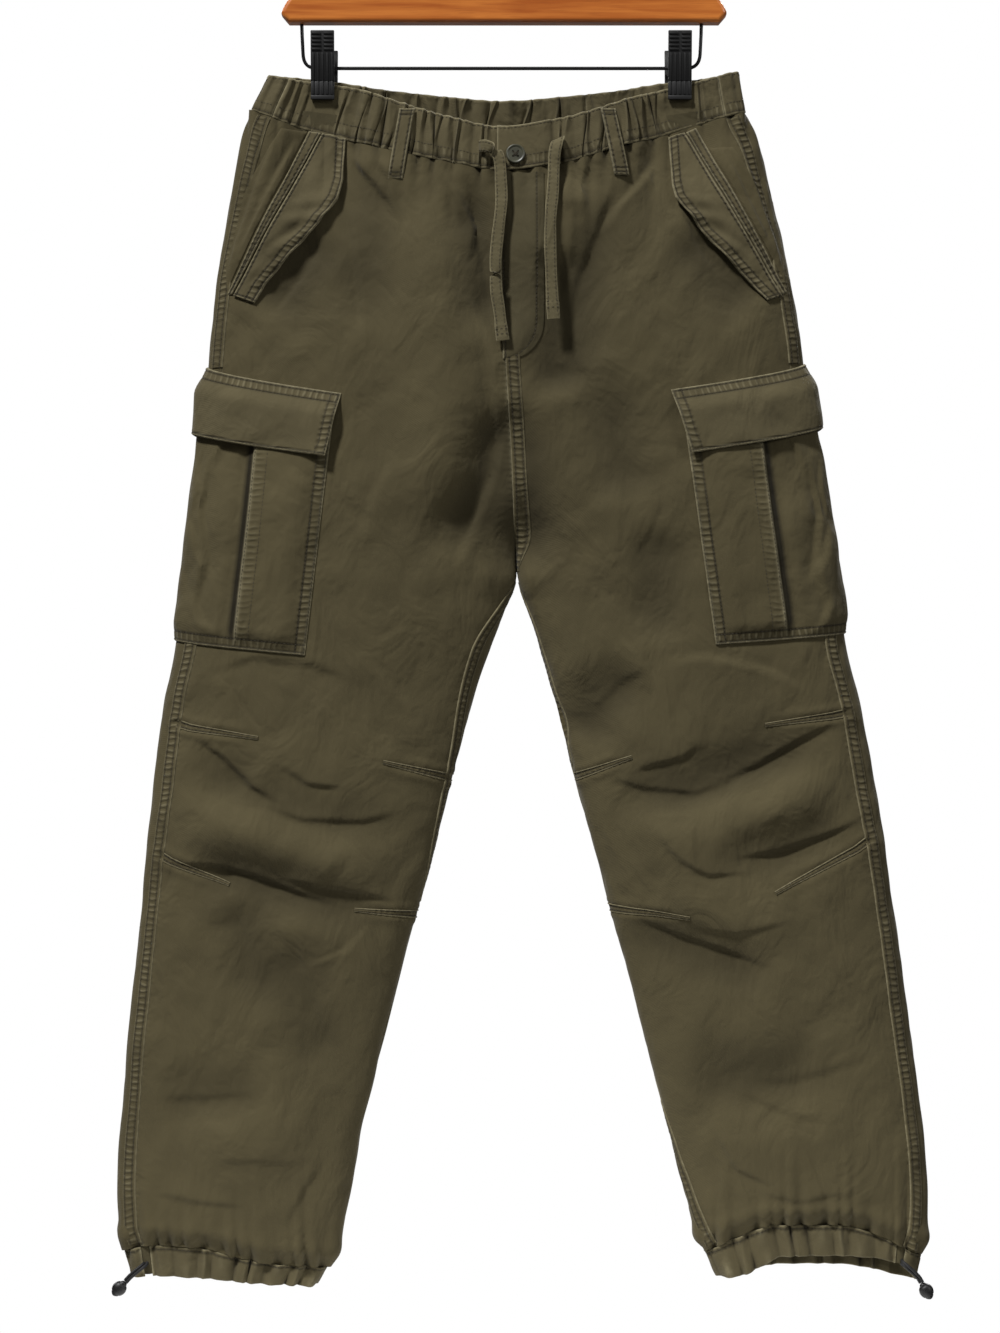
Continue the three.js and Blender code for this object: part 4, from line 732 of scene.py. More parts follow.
def ring(side, height):
    end = side.capitalize()
    rise = smooth((height - sizes["riseStart"]) / (sizes["crotch"] - sizes["riseStart"]))
    rise = rise ** sizes["riseShape"]
    edges = [along(outline, "drop", name, height) for name in (f"in{end}", f"out{end}", "front", "back")]
    return *edges, (1 - rise) * math.pi / 2


def turnAt(side, height, x):
    inX, outX, _, _, start = ring(side, height)
    share = (x - inX) / (outX - inX)
    angle = np.arccos(np.clip(np.cos(start) - share * (np.cos(start) + 1), -1, 1))
    return (angle - start) / (math.pi - start)


def edgeDrops(table, across, front, top, end, share=0):
    # Drop between two edges of the waistband or a hem casing, on the front or the back
    first, last = (np.where(front, along(table, "across", f"front{edge}", across),
                            along(table, "across", f"back{edge}", across)) for edge in (top, end))
    return mix(first, last, share)


def dropAt(side, x, front, height):
    across = np.clip(x / sizes[f"bandHalf{side.capitalize()}"], -1, 1)
    waistTop, waistSeam, hemSeam, hemEnd = (sizes[k] for k in ("waistTop", "waistSeam", "hemSeam", "hemEnd"))
    bandShare = (height - waistTop) / (waistSeam - waistTop)
    band = edgeDrops(waistSag, across, front, "Top", "Seam", bandShare)
    inX, outX = ring(side, height)[:2]
    legShare = np.clip((x - inX) / (outX - inX), 0, 1)
    casingShare = (height - hemSeam) / (hemEnd - hemSeam)
    casing = edgeDrops(hemSag[side], legShare, front, "Top", "End", casingShare)
    atWaist = edgeDrops(waistSag, across, front, "Seam", "Seam")
    atHem = edgeDrops(hemSag[side], legShare, front, "Top", "Top")
    waistShare = 1 - smooth((height - waistSeam) / sizes["waistReach"])
    hemShare = 1 - smooth((hemSeam - height) / sizes["hemReach"])
    panel = height + (atWaist - waistSeam) * waistShare + (atHem - hemSeam) * hemShare
    return np.where(height <= waistSeam, band, np.where(height >= hemSeam, casing, panel))


def pinch(x, drop):
    left, right = (np.exp(-((x - sizes[end]) / sizes["pinchWidth"]) ** 4)
                   for end in ("clipLeft", "clipRight"))
    near = np.maximum(left, right)
    return near * (1 - smooth((drop - sizes["pinchTo"]) / (sizes["pinchFades"] - sizes["pinchTo"])))


def basePoint(side, turn, height):
    inX, outX, frontDepth, backDepth, start = ring(side, height)
    angle = start + turn * (math.pi - start)
    share = (np.cos(start) - np.cos(angle)) / (np.cos(start) + 1)
    x = mix(inX, outX, share)
    front = np.sin(angle) >= 0
    drop = dropAt(side, x, front, height)
    full = np.where(front, frontDepth, backDepth) * np.abs(np.sin(angle)) ** sizes["fullness"]
    y = mix(full, np.minimum(full, sizes["pinchHalf"]), pinch(x, drop))
    return np.stack([x, np.where(front, -y, y), -drop], -1), front


def pathDistance(path, x, drop):
    # Distance to a path, the same with a sign for its side, and the share of the way along it
    best = np.full(x.shape, np.inf)
    signed = np.zeros(x.shape)
    share = np.zeros(x.shape)
    for i, ((ax, ad), (bx, bd)) in enumerate(zip(path, path[1:])):
        dx, dd = bx - ax, bd - ad
        t = np.clip(((x - ax) * dx + (drop - ad) * dd) / (dx * dx + dd * dd), 0, 1)
        away = np.hypot(x - mix(ax, bx, t), drop - mix(ad, bd, t))
        nearer = away < best
        best = np.where(nearer, away, best)
        signed = np.where(nearer, away * np.sign((x - ax) * dd - (drop - ad) * dx), signed)
        share = np.where(nearer, (i + t) / (len(path) - 1), share)
    return best, signed, share


def foldDepth(face, x, drop):
    total = np.zeros(x.shape)
    for width, depth, path in largeFolds[face]:
        away, _, share = pathDistance(path, x, drop)
        ends = smooth(share / foldTaper) * smooth((1 - share) / foldTaper)
        total += foldGain * depth * ends * np.exp(-(away / width) ** 2)
    return total


fine = {"undulation": 0.8, "crease": 1.15, "waistGather": 2.2, "waistReach": 24, "hemGather": 2.0,
        "hemReach": 24,
        "dart": 1.6}


def waistWave(x):
    pleats = 2 * np.abs(np.cos(x / 5.2 + 0.8 * np.sin(x / 11.3)))
    return pleats - 1 + 0.6 * np.sin(x / 4.3 + 2 * np.sin(x / 17))


def hemWave(x):
    pleats = 2 * np.abs(np.cos(x / 4.6 + 0.8 * np.sin(x / 9.1)))
    return pleats - 1 + 0.7 * np.sin(x / 3.7 + 1.8 * np.sin(x / 13))


def relief(face, x, drop):
    # Height of the creases, gathers and darts that only the finished cloth has
    flip = 1 if face == "front" else -1.3
    total = fine["undulation"] * (
        np.sin(x / 21 + 1.7 * np.sin(drop / 47 + flip)) * np.sin(drop / 33 + 1.3 * np.sin(x / 39) + flip)
        + 0.5 * np.sin(x / 9.5 + drop / 17 + 2 * np.sin(drop / 61 - flip)) * np.sin(drop / 13 + x / 29))
    for width, depth, standing, path in creases[face]:
        away, beside, share = pathDistance(path, x, drop)
        ends = smooth(share / 0.3) * smooth((1 - share) / 0.3)
        step = np.tanh(beside * standing / (0.32 * width)) * np.exp(-away / (1.7 * width))
        total += fine["crease"] * ends * depth * step
    if face == "front":
        for path in darts:
            away, _, share = pathDistance(path, x, drop)
            swell = 0.6 * np.exp(-((away - 6) / 3.5) ** 2) - 0.5 * np.exp(-(away / 2.6) ** 2)
            total += fine["dart"] * smooth((1.02 - share) / 0.25) * swell
    across = np.clip(x / 215, -1, 1)
    below = drop - along(waistSag, "across", f"{face}Seam", across)
    swing = 1 - 0.5 * pinch(x, drop)
    reach = fine["waistReach"] * (1 + 0.5 * np.sin(x / 8.7))
    gathers = swing * fine["waistGather"] * waistWave(x) * np.exp(-np.maximum(below, 0) / reach)
    total += np.where(below > -6, gathers, 0)
    for side in ("left", "right"):
        inX, outX = ring(side, drop)[:2]
        legShare = (x - inX) / (outX - inX)
        inside = (legShare > -0.1) & (legShare < 1.1)
        above = along(hemSag[side], "across", f"{face}Top", np.clip(legShare, 0, 1)) - drop
        reach = fine["hemReach"] * (1 + 0.5 * np.sin(x / 7.3))
        gathers = fine["hemGather"] * hemWave(x) * np.exp(-np.maximum(above, 0) / reach)
        total += np.where(inside & (above > -6), gathers, 0)
    return total


def surface(side, turn, height, lift=0.0, detail=1.0, withNormal=False):
    # Points of the cloth with its folds, lifted outward
    turn, height = np.broadcast_arrays(np.asarray(turn, float), np.asarray(height, float))
    point, front = basePoint(side, turn, height)
    acrossCloth = basePoint(side, turn + 0.004, height)[0] - basePoint(side, turn - 0.004, height)[0]
    downCloth = basePoint(side, turn, height + 1)[0] - basePoint(side, turn, height - 1)[0]
    normal = unit(np.cross(acrossCloth, downCloth)) * (1 if side == "left" else -1)
    x, drop = point[..., 0], -point[..., 2]
    # Above the crotch the legs are joined, so their folds go straight out at the centre seam
    joined = np.exp(-((x - ring(side, height)[0]) / 14) ** 2) * (1 - smooth((height - 575) / 40))
    straight = np.stack([0 * x, np.where(front, -1.0, 1.0), 0 * x], -1)
    normal = unit(mix(normal, straight, joined[..., None]))
    form = np.where(front, -foldDepth("front", x, drop), -foldDepth("back", x, drop))
    if detail:
        form = form + detail * np.where(front, relief("front", x, drop), relief("back", x, drop))
    placed = point + normal * (form + lift)[..., None]
    return (placed, normal) if withNormal else placed


def heightAt(side, x, front, drop):
    height = np.array(drop, float)
    for _ in range(12):
        height = height + 0.8 * (drop - dropAt(side, x, front, height))
    return height


def over(face, x, drop, lift, detail=1.0, withNormal=False):
    # Points over the cloth at x and drop on the front or back
    x, drop = np.broadcast_arrays(np.asarray(x, float), np.asarray(drop, float))
    found = {}
    for side in ("left", "right"):
        height = heightAt(side, x, face == "front", drop)
        turn = turnAt(side, height, x)
        turn = turn if face == "front" else 2 - turn
        found[side] = surface(side, turn, height, lift, detail, True)
    isLeft = (x < (ring("left", drop)[0] + ring("right", drop)[0]) / 2)[..., None]
    point, normal = (np.where(isLeft, found["left"][i], found["right"][i]) for i in range(2))
    return (point, normal) if withNormal else point


def seamTurn(side, height):
    inX, outX = ring(side, height)[:2]
    inset = along(seamInsets, "drop", "outseam", height)
    return turnAt(side, height, outX + np.sign(inX - outX) * inset)


def inseamTurn(side, height):
    inX, outX = ring(side, height)[:2]
    inset = along(seamInsets, "drop", f"inseam{side.capitalize()}", height)
    turn = turnAt(side, height, inX + np.sign(outX - inX) * np.abs(inset))
    return np.where(height <= sizes["crotch"], 0, np.sign(inset) * turn)


def turnLength(side, turn, height):
    # Millimetres of cloth for a turn of 1 at a place
    step = 0.01
    apart = basePoint(side, turn + step, height)[0] - basePoint(side, turn - step, height)[0]
    return np.linalg.norm(apart, axis=-1) / (2 * step)


def onPath(path, share):
    path = np.array(path, float)
    steps = np.concatenate([[0], np.cumsum(np.linalg.norm(np.diff(path, axis=0), axis=1))])
    return np.stack([np.interp(share, steps / steps[-1], path[:, k]) for k in (0, 1)], -1), steps[-1]


def gradedShares(length, fineStep, coarseStep, fineReach):
    # Shares of a length, close together near both ends
    reach = min(fineReach, length * 0.4)
    near = np.arange(0, reach, fineStep) / length
    middle = np.linspace(reach, length - reach, max(3, int((length - 2 * reach) / coarseStep) + 1)) / length
    return np.concatenate([near, middle, (1 - near)[::-1]])


def rolled(distance, radius):
    # 1 on the flat of a piece, falling to 0 round its edge
    return np.sqrt(np.clip(1 - (1 - np.clip(distance / radius, 0, 1)) ** 2, 0, 1))


def worn(distance, reach=1.3):
    return np.exp(-(distance / reach) ** 2)


def puckered(distance, run, rows, depth=0.4, swell=0.14, pitch=5.6):
    # Relief, groove and pucker values beside rows of stitches, which lie at distances from an edge
    groove = sum(np.exp(-((distance - row) / 0.7) ** 2) for row in rows)
    middle = sum(rows) / len(rows)
    spread = 1.1 + (max(rows) - min(rows)) / 2
    near = np.exp(-((distance - middle) / spread) ** 4)
    wave = np.sin(2 * math.pi * run / pitch + 1.6 * np.sin(run / 17) + 0.9 * np.sin(run / 5.3))
    wave = wave * (0.65 + 0.35 * np.sin(run / 13 + 1)) + 0.3 * np.sin(run / 1.5 + 2 * np.sin(run / 11))
    return near * swell * wave - depth * groove, np.clip(groove, 0, 1), near


# Leg panels

panel = {"wall": 1.2, "slack": 1.3, "seamGap": 0.3, "frontStep": 2.5, "backStep": 4.2, "edgeStep": 1.3,
         "edgeReach": 9,
         "gridWidth": 270}
rowDensity = {  # from, to and the step between rows
    "front": [(188, 250, 1.8), (250, 690, 2.9), (690, 920, 1.6), (920, 1100, 2.7), (1100, 1150, 1.5)],
    "back": [(188, 240, 2.4), (240, 1105, 4.2), (1105, 1150, 2)],
}


def panelHeights(face):
    parts = [np.arange(start, end, step) for start, end, step in rowDensity[face]]
    return np.concatenate(parts + [[sizes["hemSeam"]]])


def makePanels():
    for side in ("left", "right"):
        for face in ("front", "back"):
            heights = panelHeights(face)[:, None]
            gap = panel["seamGap"] / (1.3 * np.abs(ring(side, heights)[1] - ring(side, heights)[0]))
            if face == "front":
                first, last = inseamTurn(side, heights) + gap, seamTurn(side, heights) - gap
            else:
                first, last = seamTurn(side, heights) + gap, 2 + inseamTurn(side, heights) - gap
            share = gradedShares(panel["gridWidth"], panel["edgeStep"], panel[f"{face}Step"],
                                 panel["edgeReach"])[None, :]
            turn = mix(first, last, share)
            lengthOf = turnLength(side, mix(first, last, 0.5), heights) * np.abs(last - first)
            fromEdge = np.minimum(share, 1 - share) * lengthOf
            run = np.broadcast_to(heights, turn.shape)
            ups = np.minimum(heights - heights[0], heights[-1] - heights)
            near = np.exp(-(fromEdge / 5) ** 2)
            edge = np.minimum(fromEdge, ups + 2)
            drawnIn = 1.8 * np.exp(-(heights[-1] - heights) / 5) + 0.3 * np.exp(-(heights - heights[0]) / 4)
            blouse = 2.2 * np.exp(-((heights[-1] - heights - 13) / 8) ** 2) * smooth(fromEdge / 20)
            lift = 0.4 * (rolled(edge, 1.4) - 1) - drawnIn + blouse
            outer = surface(side, turn, heights, lift)
            sunk = panel["wall"] + panel["slack"] * smooth(edge / 10)
            inner = surface(side, turn, heights, -sunk)
            # Painted shade: the groove value darkens the valleys of the gathers at the waist and hem and the
            # hollows of the large folds
            valleys = np.clip(-waistWave(outer[..., 0]), 0, 1) * np.exp(-(heights - heights[0]) / 9)
            valleys = valleys + np.clip(-hemWave(outer[..., 0]), 0, 1) * np.exp(-(heights[-1] - heights) / 8)
            hollow = np.clip(foldDepth(face, outer[..., 0], -outer[..., 2]) / 22, 0, 0.42)
            groove = np.clip(valleys * 0.8 + hollow, 0, 1)
            values = {"seam": near * 0.3, "run": run, "wearAndHighlight": worn(fromEdge, 0.9) * 0.7, "groove": groove}
            thing = wallMesh(f"{face}_panel_{side}_cloth", outer, inner, values, coarse=3)
            finish(thing, "cloth", f"{face}_panel_{side}")
    print("leg panels made")


# Felled seams, a folded strip with two rows of stitches beside each seam

felled = {"width": 12, "wall": 1.0, "lift": 0.1, "rowStep": 1.9, "rows": (2.4, 9.6)}


def seamStrip(name, side, startTurn, direction, fromHeight, toHeight, width=None):
    width = width or felled["width"]
    rows = (2.2, width - 2.4)
    heights = np.arange(fromHeight, toHeight, felled["rowStep"])[:, None]
    distance = np.concatenate([[-1.2, -0.85, 0], np.arange(1, width - 0.6, 1.0),
                               [width - 0.35, width]])[None, :]
    start = startTurn(side, heights)
    turn = start + direction * distance / turnLength(side, start, heights)
    height = np.broadcast_to(heights, turn.shape)
    wobble, groove, near = puckered(distance, height, rows)
    edge = np.minimum(distance + 1.2, width - distance)
    roll = rolled(edge, 1.0)
    lift = felled["lift"] + felled["wall"] * (0.15 + 0.85 * roll) + wobble * roll
    outer, normal = surface(side, turn, height, lift, withNormal=True)
    inner = surface(side, turn, height, felled["lift"] - 0.25)
    values = {"seam": near * 0.9, "run": height, "wearAndHighlight": worn(edge, 0.7) * 0.9, "groove": groove * 0.7}
    finish(wallMesh(name, outer, inner, values), "cloth")
    for row in rows:
        sew(outer, normal, slice(None), nearest(distance[0], row))


def makeSeamStrips():
    gap = 0.001
    legEnds = {"left": (409, 637), "right": (406, 631)}
    for side in ("left", "right"):
        top, below = legEnds[side]
        out = lambda s, h: seamTurn(s, h) + gap
        seamStrip(f"outseam_{side}_top", side, out, 1, 190, top)
        seamStrip(f"outseam_{side}_leg", side, out, 1, below, 1148)
        seamStrip(f"inseam_{side}", side, lambda s, h: inseamTurn(s, h) - gap, -1, 590, 1148, 10)
    for face in ("front", "back"):
        # The seam allowances inside close the seam from behind
        heights = np.concatenate([np.arange(189, 560, 6), np.arange(560, 584, 3)])[:, None]
        reach = np.linspace(0.045, 0.0, 9)[None, :] + 0 * heights
        middle = 0 if face == "front" else 2
        sign = 1 if face == "front" else -1
        inward = []
        for depth in (1.5, 2.4):
            sides = [surface(side, middle + sign * reach, heights, -depth) for side in ("left", "right")]
            joint = (sides[0][:, -1:] + sides[1][:, -1:]) / 2
            inward.append(np.concatenate([sides[0][:, :-1], joint, sides[1][:, -2::-1]], 1))
        finish(wallMesh(f"centre_allowance_{face}", *inward), "cloth")
    seamStrip("centre_seam_front", "right", lambda s, h: 0.002 + 0 * h, 1, 392, 582, 11)
    seamStrip("centre_seam_back", "right", lambda s, h: 1.998 + 0 * h, -1, 190, 582, 11)
    print("seams made")


dartForm = {"rows": 70, "seamHalf": 3.6, "tipHalf": 1.7, "lift": 0.15, "wall": 0.9, "stitchAt": 0.5}


def makeDarts():
    at = np.array([-1, -0.9, -0.72, -0.58, -0.5, -0.42, -0.25, 0, 0.25, 0.42, 0.5, 0.58, 0.72, 0.9, 1])
    for number, path in enumerate(darts):
        share = np.linspace(0, 1, dartForm["rows"])
        line, length = onPath(path, share)
        way = unit(np.gradient(line, axis=0))
        beside = np.stack([-way[:, 1], way[:, 0]], -1)
        half = mix(dartForm["seamHalf"], dartForm["tipHalf"], share)[:, None]
        flat = line[:, None] + beside[:, None] * (at[None, :] * half)[..., None]
        edge = (1 - np.abs(at))[None, :] * half
        groove = np.exp(-((np.abs(at) - dartForm["stitchAt"]) / 0.13) ** 2)[None, :] + 0 * edge
        run = share[:, None] * length + 0 * edge
        swell = 0.16 * np.sin(run / 0.85 + 2 * np.sin(run / 6.1)) * (1 - groove)
        lift = dartForm["lift"] + dartForm["wall"] * rolled(edge, 0.9) - 0.45 * groove + swell
        outer, normal = over("front", flat[..., 0], flat[..., 1], lift, 1.0, True)
        inner = over("front", flat[..., 0], flat[..., 1], -0.3, 1.0)
        values = {"groove": groove, "seam": 0.4 * (1 - groove), "run": run, "wearAndHighlight": worn(edge, 0.7) * 0.8}
        finish(wallMesh(f"dart_{number + 1}", outer, inner, values, coarse=2), "cloth")
        for column in (4, 10):
            sew(outer, normal, slice(2, -2), column, 0.1)
    print("darts made")


# Waistband

band = {"wall": 2.4, "stepsPerGather": 10, "height": 3.1, "sink": 0.4, "gripHalf": 14, "seamGap": 0.4,
        "frontGathers": 24, "backGathers": 40, "stitchRows": (2.6, 9.4), "tabEnd": 33.5, "tabOverlap": 6,
        "tabFade": 12}


def gatherColumns(count, steps):
    # Shares along an uneven run of gathers, and the height of each place, from -1 to 1
    k = np.linspace(0, count * 4, count * steps + 1)
    ends = np.clip(np.sin(math.pi * k / (count * 4)), 0, 1) ** 0.2
    sway = ends * (0.8 * np.sin(k * 0.61) + 0.6 * np.sin(k * 0.23))
    size = 0.75 + 0.35 * np.sin(k * 1.7) * np.sin(k * 0.37 + 1)
    swell = 2 * np.abs(np.cos(k * math.pi / 4 - math.pi / 4)) - 1
    return (k + sway) / (count * 4), ends * size * mix(np.sin(k * math.pi / 2), swell, 0.8), k


def evenTurns(stretches, height):
    # Side and turn for each share along stretches of the waist, evenly by length
    samples = [(side, turn) for side, start, end in stretches for turn in np.linspace(start, end, 160)]
    points = np.array([basePoint(side, np.array(turn), np.array(float(height)))[0] for side, turn in samples])
    length = np.concatenate([[0], np.cumsum(np.linalg.norm(np.diff(points, axis=0), axis=1))])
    sides = np.array([side == "left" for side, _ in samples])
    turns = np.array([turn for _, turn in samples])

    def at(share):
        wanted = np.clip(share, 0, 1) * length[-1]
        i = np.clip(np.searchsorted(length, wanted), 1, len(length) - 1)
        t = np.clip((wanted - length[i - 1]) / np.maximum(length[i] - length[i - 1], 1e-9), 0, 1)
        same = sides[i - 1] == sides[i]
        return sides[i], np.where(same, mix(turns[i - 1], turns[i], t), turns[i]), length[-1]

    return at


def bandSurface(isLeft, turn, height, lift, withNormal=False):
    found = {side: surface(side, turn, height, lift, 0, True) for side in ("left", "right")}
    chosen = [np.where(isLeft[..., None], found["left"][i], found["right"][i]) for i in range(2)]
    return chosen if withNormal else chosen[0]


def makeWaistband():
    top, seam = sizes["waistTop"], sizes["waistSeam"]
    middle = (top + seam) / 2
    edge = {side: float(seamTurn(side, np.array(middle))) for side in ("left", "right")}
    gap = 0.0013
    tall = seam - top
    overlap = -abs(float(turnAt("right", np.array(middle), np.array(-band["tabOverlap"]))))
    pieces = {
        "left": ([("left", edge["left"] - gap, gap)], band["frontGathers"]),
        "right": ([("right", overlap, edge["right"] - gap)], band["frontGathers"]),
        "back": ([("left", edge["left"] + gap, 2), ("right", 2, edge["right"] + gap)], band["backGathers"]),
    }
    for name, (stretches, count) in pieces.items():
        shares, wave, k = gatherColumns(count, band["stepsPerGather"])
        at = evenTurns(stretches, middle)
        down = gradedShares(tall, 0.7, 2.4, 3.2)[:, None]
        drift = 1.5 * np.sin(k[None, :] * 0.43 + 2) * np.sin(down * 3.4 + k[None, :] * 0.31) / (count * 4)
        isLeft, turn, length = at(shares[None, :] + drift * np.sin(math.pi * np.clip(shares, 0, 1))[None, :])
        cornerDip = 5 * (1 - down) ** 3 * np.exp(-((1 - turn) / 0.022) ** 2)
        height = mix(top, seam - band["seamGap"], down) + cornerDip
        point = np.where(isLeft[..., None], basePoint("left", turn, height)[0],
                         basePoint("right", turn, height)[0])
        x = point[..., 0]
        gripped = [np.exp(-((x - sizes[end]) / band["gripHalf"]) ** 4) for end in ("clipLeft", "clipRight")]
        loose = 1 - np.maximum(*gripped)
        tab = 0 * x
        if name == "right":
            tab = np.where(point[..., 1] < 0, 1 - smooth((x - band["tabEnd"]) / band["tabFade"]), 0)
        loose = loose * (1 - tab)
        fromSeam = (1 - down) * tall
        swing = 0.75 + 0.35 * np.sin(down * 4 + k[None, :] * 0.7) * np.sin(k[None, :] * 1.3)
        run = shares[None, :] * length + 0 * down
        wobble, groove, near = puckered(fromSeam, run, band["stitchRows"], 0.3, 0.22, 4.6)
        topWobble, _, topNear = puckered(down * tall, run, (2.4,), 0.15, 0.2, 4.6)
        nearSide = np.exp(-((1 - turn) / 0.06) ** 2)
        gather = loose * (band["height"] * (wave[None, :] * swing) * (1 - 0.5 * nearSide) - band["sink"])
        gather = gather - (0.9 + 1.6 * down) * nearSide
        fromEdge = np.minimum(down, 1 - down) * tall
        ends = np.minimum(shares, 1 - shares)[None, :] * length
        roll = rolled(np.minimum(fromEdge, ends + 0.4), 1.3)
        lift = gather + tab * (band["wall"] + 0.6) + wobble + topWobble
        outer, normal = bandSurface(isLeft, turn, height, lift - (1 - roll) * band["wall"] * 0.4, True)
        inner = bandSurface(isLeft, turn, height, lift - band["wall"] * (0.55 + 0.45 * roll))
        # Painted highlight on the gather crests, carried by the wear attribute beside the real wear of the
        # edges, and painted shade in the gather valleys, carried by the groove attribute beside the stitch
        # rows
        crest = np.clip(wave[None, :] * swing, 0, 1) * loose
        values = {
            "wearAndHighlight": np.clip(worn(fromEdge, 1.0) + worn(ends, 1.0) + 0.65 * crest ** 4, 0, 1),
            "seam": np.clip(near + topNear * 0.6, 0, 1) * 0.75, "run": run + 0 * down,
            "groove": np.clip(groove * 0.6 + np.clip(-wave[None, :] * swing - 0.25, 0, 1) * loose * 1.1, 0,
                              1),
        }
        fewLeft, fewTurn, _ = at(shares[None, ::4])
        seamHeight = np.linspace(seam - 8, seam + 12, 8)[:, None]
        allowance = [bandSurface(fewLeft, fewTurn, seamHeight, -depth) for depth in (5.6, 6.8)]
        finish(wallMesh(f"waist_allowance_{name}", *allowance), "clothDark")
        thing = wallMesh(f"waistband_{name}_cloth", outer, inner, values)
        finish(thing, "clothWorn", f"waistband_{name}")
        for row in (*band["stitchRows"], tall - 2.4):
            sew(outer, normal, nearest(fromSeam[:, 0], row), slice(3, -3))
    print("waistband made")


# Pieces laid on the cloth: facings, welts and flaps of the hand pockets, belt loops

laid = {"lift": 0.55, "wall": 1.3, "flapWall": 1.6, "flapStand": 5.0, "facingLift": 0.1}
handPockets = {
    "left": {
        "flap": ([(-154, 209), (-191, 279), (-228, 348.6)],
                 [(-133.6, 213.8), (-135, 251.5), (-139.5, 268.4), (-154.4, 288.7), (-178, 312.3),
                  (-201.7, 339.7),
                  (-210.1, 355.3)]),
        "welt": ([(-165.6, 207), (-199.5, 278), (-233.4, 347)],
                 [(-155.4, 209), (-192.4, 279), (-229.4, 347.5)]),
        "facing": ([(-189, 206), (-222, 262), (-236, 322)], [(-167, 207), (-198, 271.5), (-234, 344)]),
    },
    "right": {
        "flap": ([(153, 208), (193, 278), (234, 348.1)],
                 [(139.3, 212.6), (141.2, 257.5), (143.9, 268.4), (166.8, 295.8), (190.6, 319.6),
                  (212.6, 343.5),
                  (221.3, 352.8)]),
        "welt": ([(163, 204.5), (200, 273), (239, 345)], [(154.4, 208), (194.4, 278), (235.4, 347)]),
        "facing": ([(193, 222), (219, 262), (238, 319)], [(174, 223), (201.4, 272.5), (239, 341)]),
    },
}
beltLoops = [  # name, face, x and drop at the top and the bottom, width
    ("belt_loop_front_left", "front", (-81.6, -91.7), (191, 252), 13),
    ("belt_loop_front_right", "front", (87.5, 99.0), (191, 248), 12.5),
    ("belt_loop_back_left", "back", (-97, -102), (172, 234), 13),
    ("belt_loop_back_middle", "back", (0.5, 0.5), (182, 240), 13),
    ("belt_loop_back_right", "back", (97, 102), (172, 234), 13),
]


def laidPiece(node, face, sewn, free, wall, kind, liftOf, rows=(), sewnRows=(), endRows=(), step=1.6,
              detail=1.0, rim=1.2, edgeWear=1.0):
    # Strip between two paths, with rows of stitches at distances from its free, sewn and short edges
    width = max(math.dist(a, b) for a, b in zip(sewn, free[:: max(1, len(free) // len(sewn))]))
    length = onPath(sewn, 0.0)[1]
    down = gradedShares(length, 0.8, step, 8)[:, None]
    across = gradedShares(width, 0.7, step, 6)[None, :]
    left, right = onPath(sewn, down[:, 0])[0][:, None], onPath(free, down[:, 0])[0][:, None]
    flat = mix(left, right, across[..., None])
    wide = np.linalg.norm(right - left, axis=-1)
    toFree, toSewn = (1 - across) * wide, across * wide
    toEnd = np.minimum(down, 1 - down) * length + 0 * across
    edge = np.minimum(np.minimum(toFree, toSewn), toEnd)
    run = down * length + 0 * across
    wobble, groove, near = 0, 0 * edge, 0 * edge
    for rowsOf, distance, way in ((rows, toFree, run), (sewnRows, toSewn, run),
                                  (endRows, toEnd, across * wide)):
        if rowsOf:
            w, g, n = puckered(distance, way, rowsOf, 0.4, 0.13)
            wobble, groove, near = wobble + w, np.maximum(groove, g), np.maximum(near, n)
    roll = rolled(edge, rim)
    lift = liftOf(down, across) + 0 * edge
    outer, normal = over(face, flat[..., 0], flat[..., 1], lift + wall * (0.25 + 0.75 * roll) + wobble * roll,
                         detail, True)
    inner = over(face, flat[..., 0], flat[..., 1], lift, detail)
    values = {"wearAndHighlight": worn(edge, 1.3) * edgeWear, "seam": near * 0.8, "run": run, "groove": groove * 0.9}
    thing = finish(wallMesh(f"{node}_cloth", outer, inner, values, coarse=2), kind, node)
    picked = np.arange(len(down))
    for rowsOf, fromFree in ((rows, True), (sewnRows, False)):
        for row in rowsOf:
            share = np.clip(row / wide, 0, 1)
            index = nearest(across, 1 - share if fromFree else share)
            keep = toEnd[picked, index] > 1.5
            sew(outer, normal, picked[keep], index[keep])
    for row in endRows:
        for share in (row / length, 1 - row / length):
            sew(outer, normal, nearest(down[:, 0], share), slice(3, -3))
    flat = (float(max(width * 1.02, 10.5) * mm), float(length * 1.02 * mm))


def flapLift(down, across):
    bow = np.sin(math.pi * down) * across
    wrinkle = 2.6 * np.sin(down * 13 + 5 * across + 2 * np.sin(down * 9)) * np.sin(across * 6 + 1)
    wrinkle = wrinkle + 1.3 * np.sin(down * 31 + across * 7 + 2 * np.sin(down * 14))
    return laid["lift"] + 0.9 + bow * (laid["flapStand"] + wrinkle)


def makeHandPockets():
    for side, pieces in handPockets.items():
        laidPiece(f"pocket_facing_{side}", "front", *pieces["facing"], laid["wall"], "cloth",
                  lambda d, a: laid["facingLift"], rim=7, edgeWear=0.0)
        laidPiece(f"pocket_welt_{side}", "front", *pieces["welt"], laid["wall"], "clothWorn",
                  lambda d, a: laid["lift"], rows=(1.9,), sewnRows=(1.9,), step=1.1)
        laidPiece(f"pocket_flap_{side}", "front", *pieces["flap"], laid["flapWall"], "clothWorn", flapLift,
                  rows=(2.2, 8.2), sewnRows=(2.4,), endRows=(2.4,))
    print("hand pockets made")


def loopBow(down, across):
    return 0.7 + 2.1 * np.sin(math.pi * down) ** 0.8


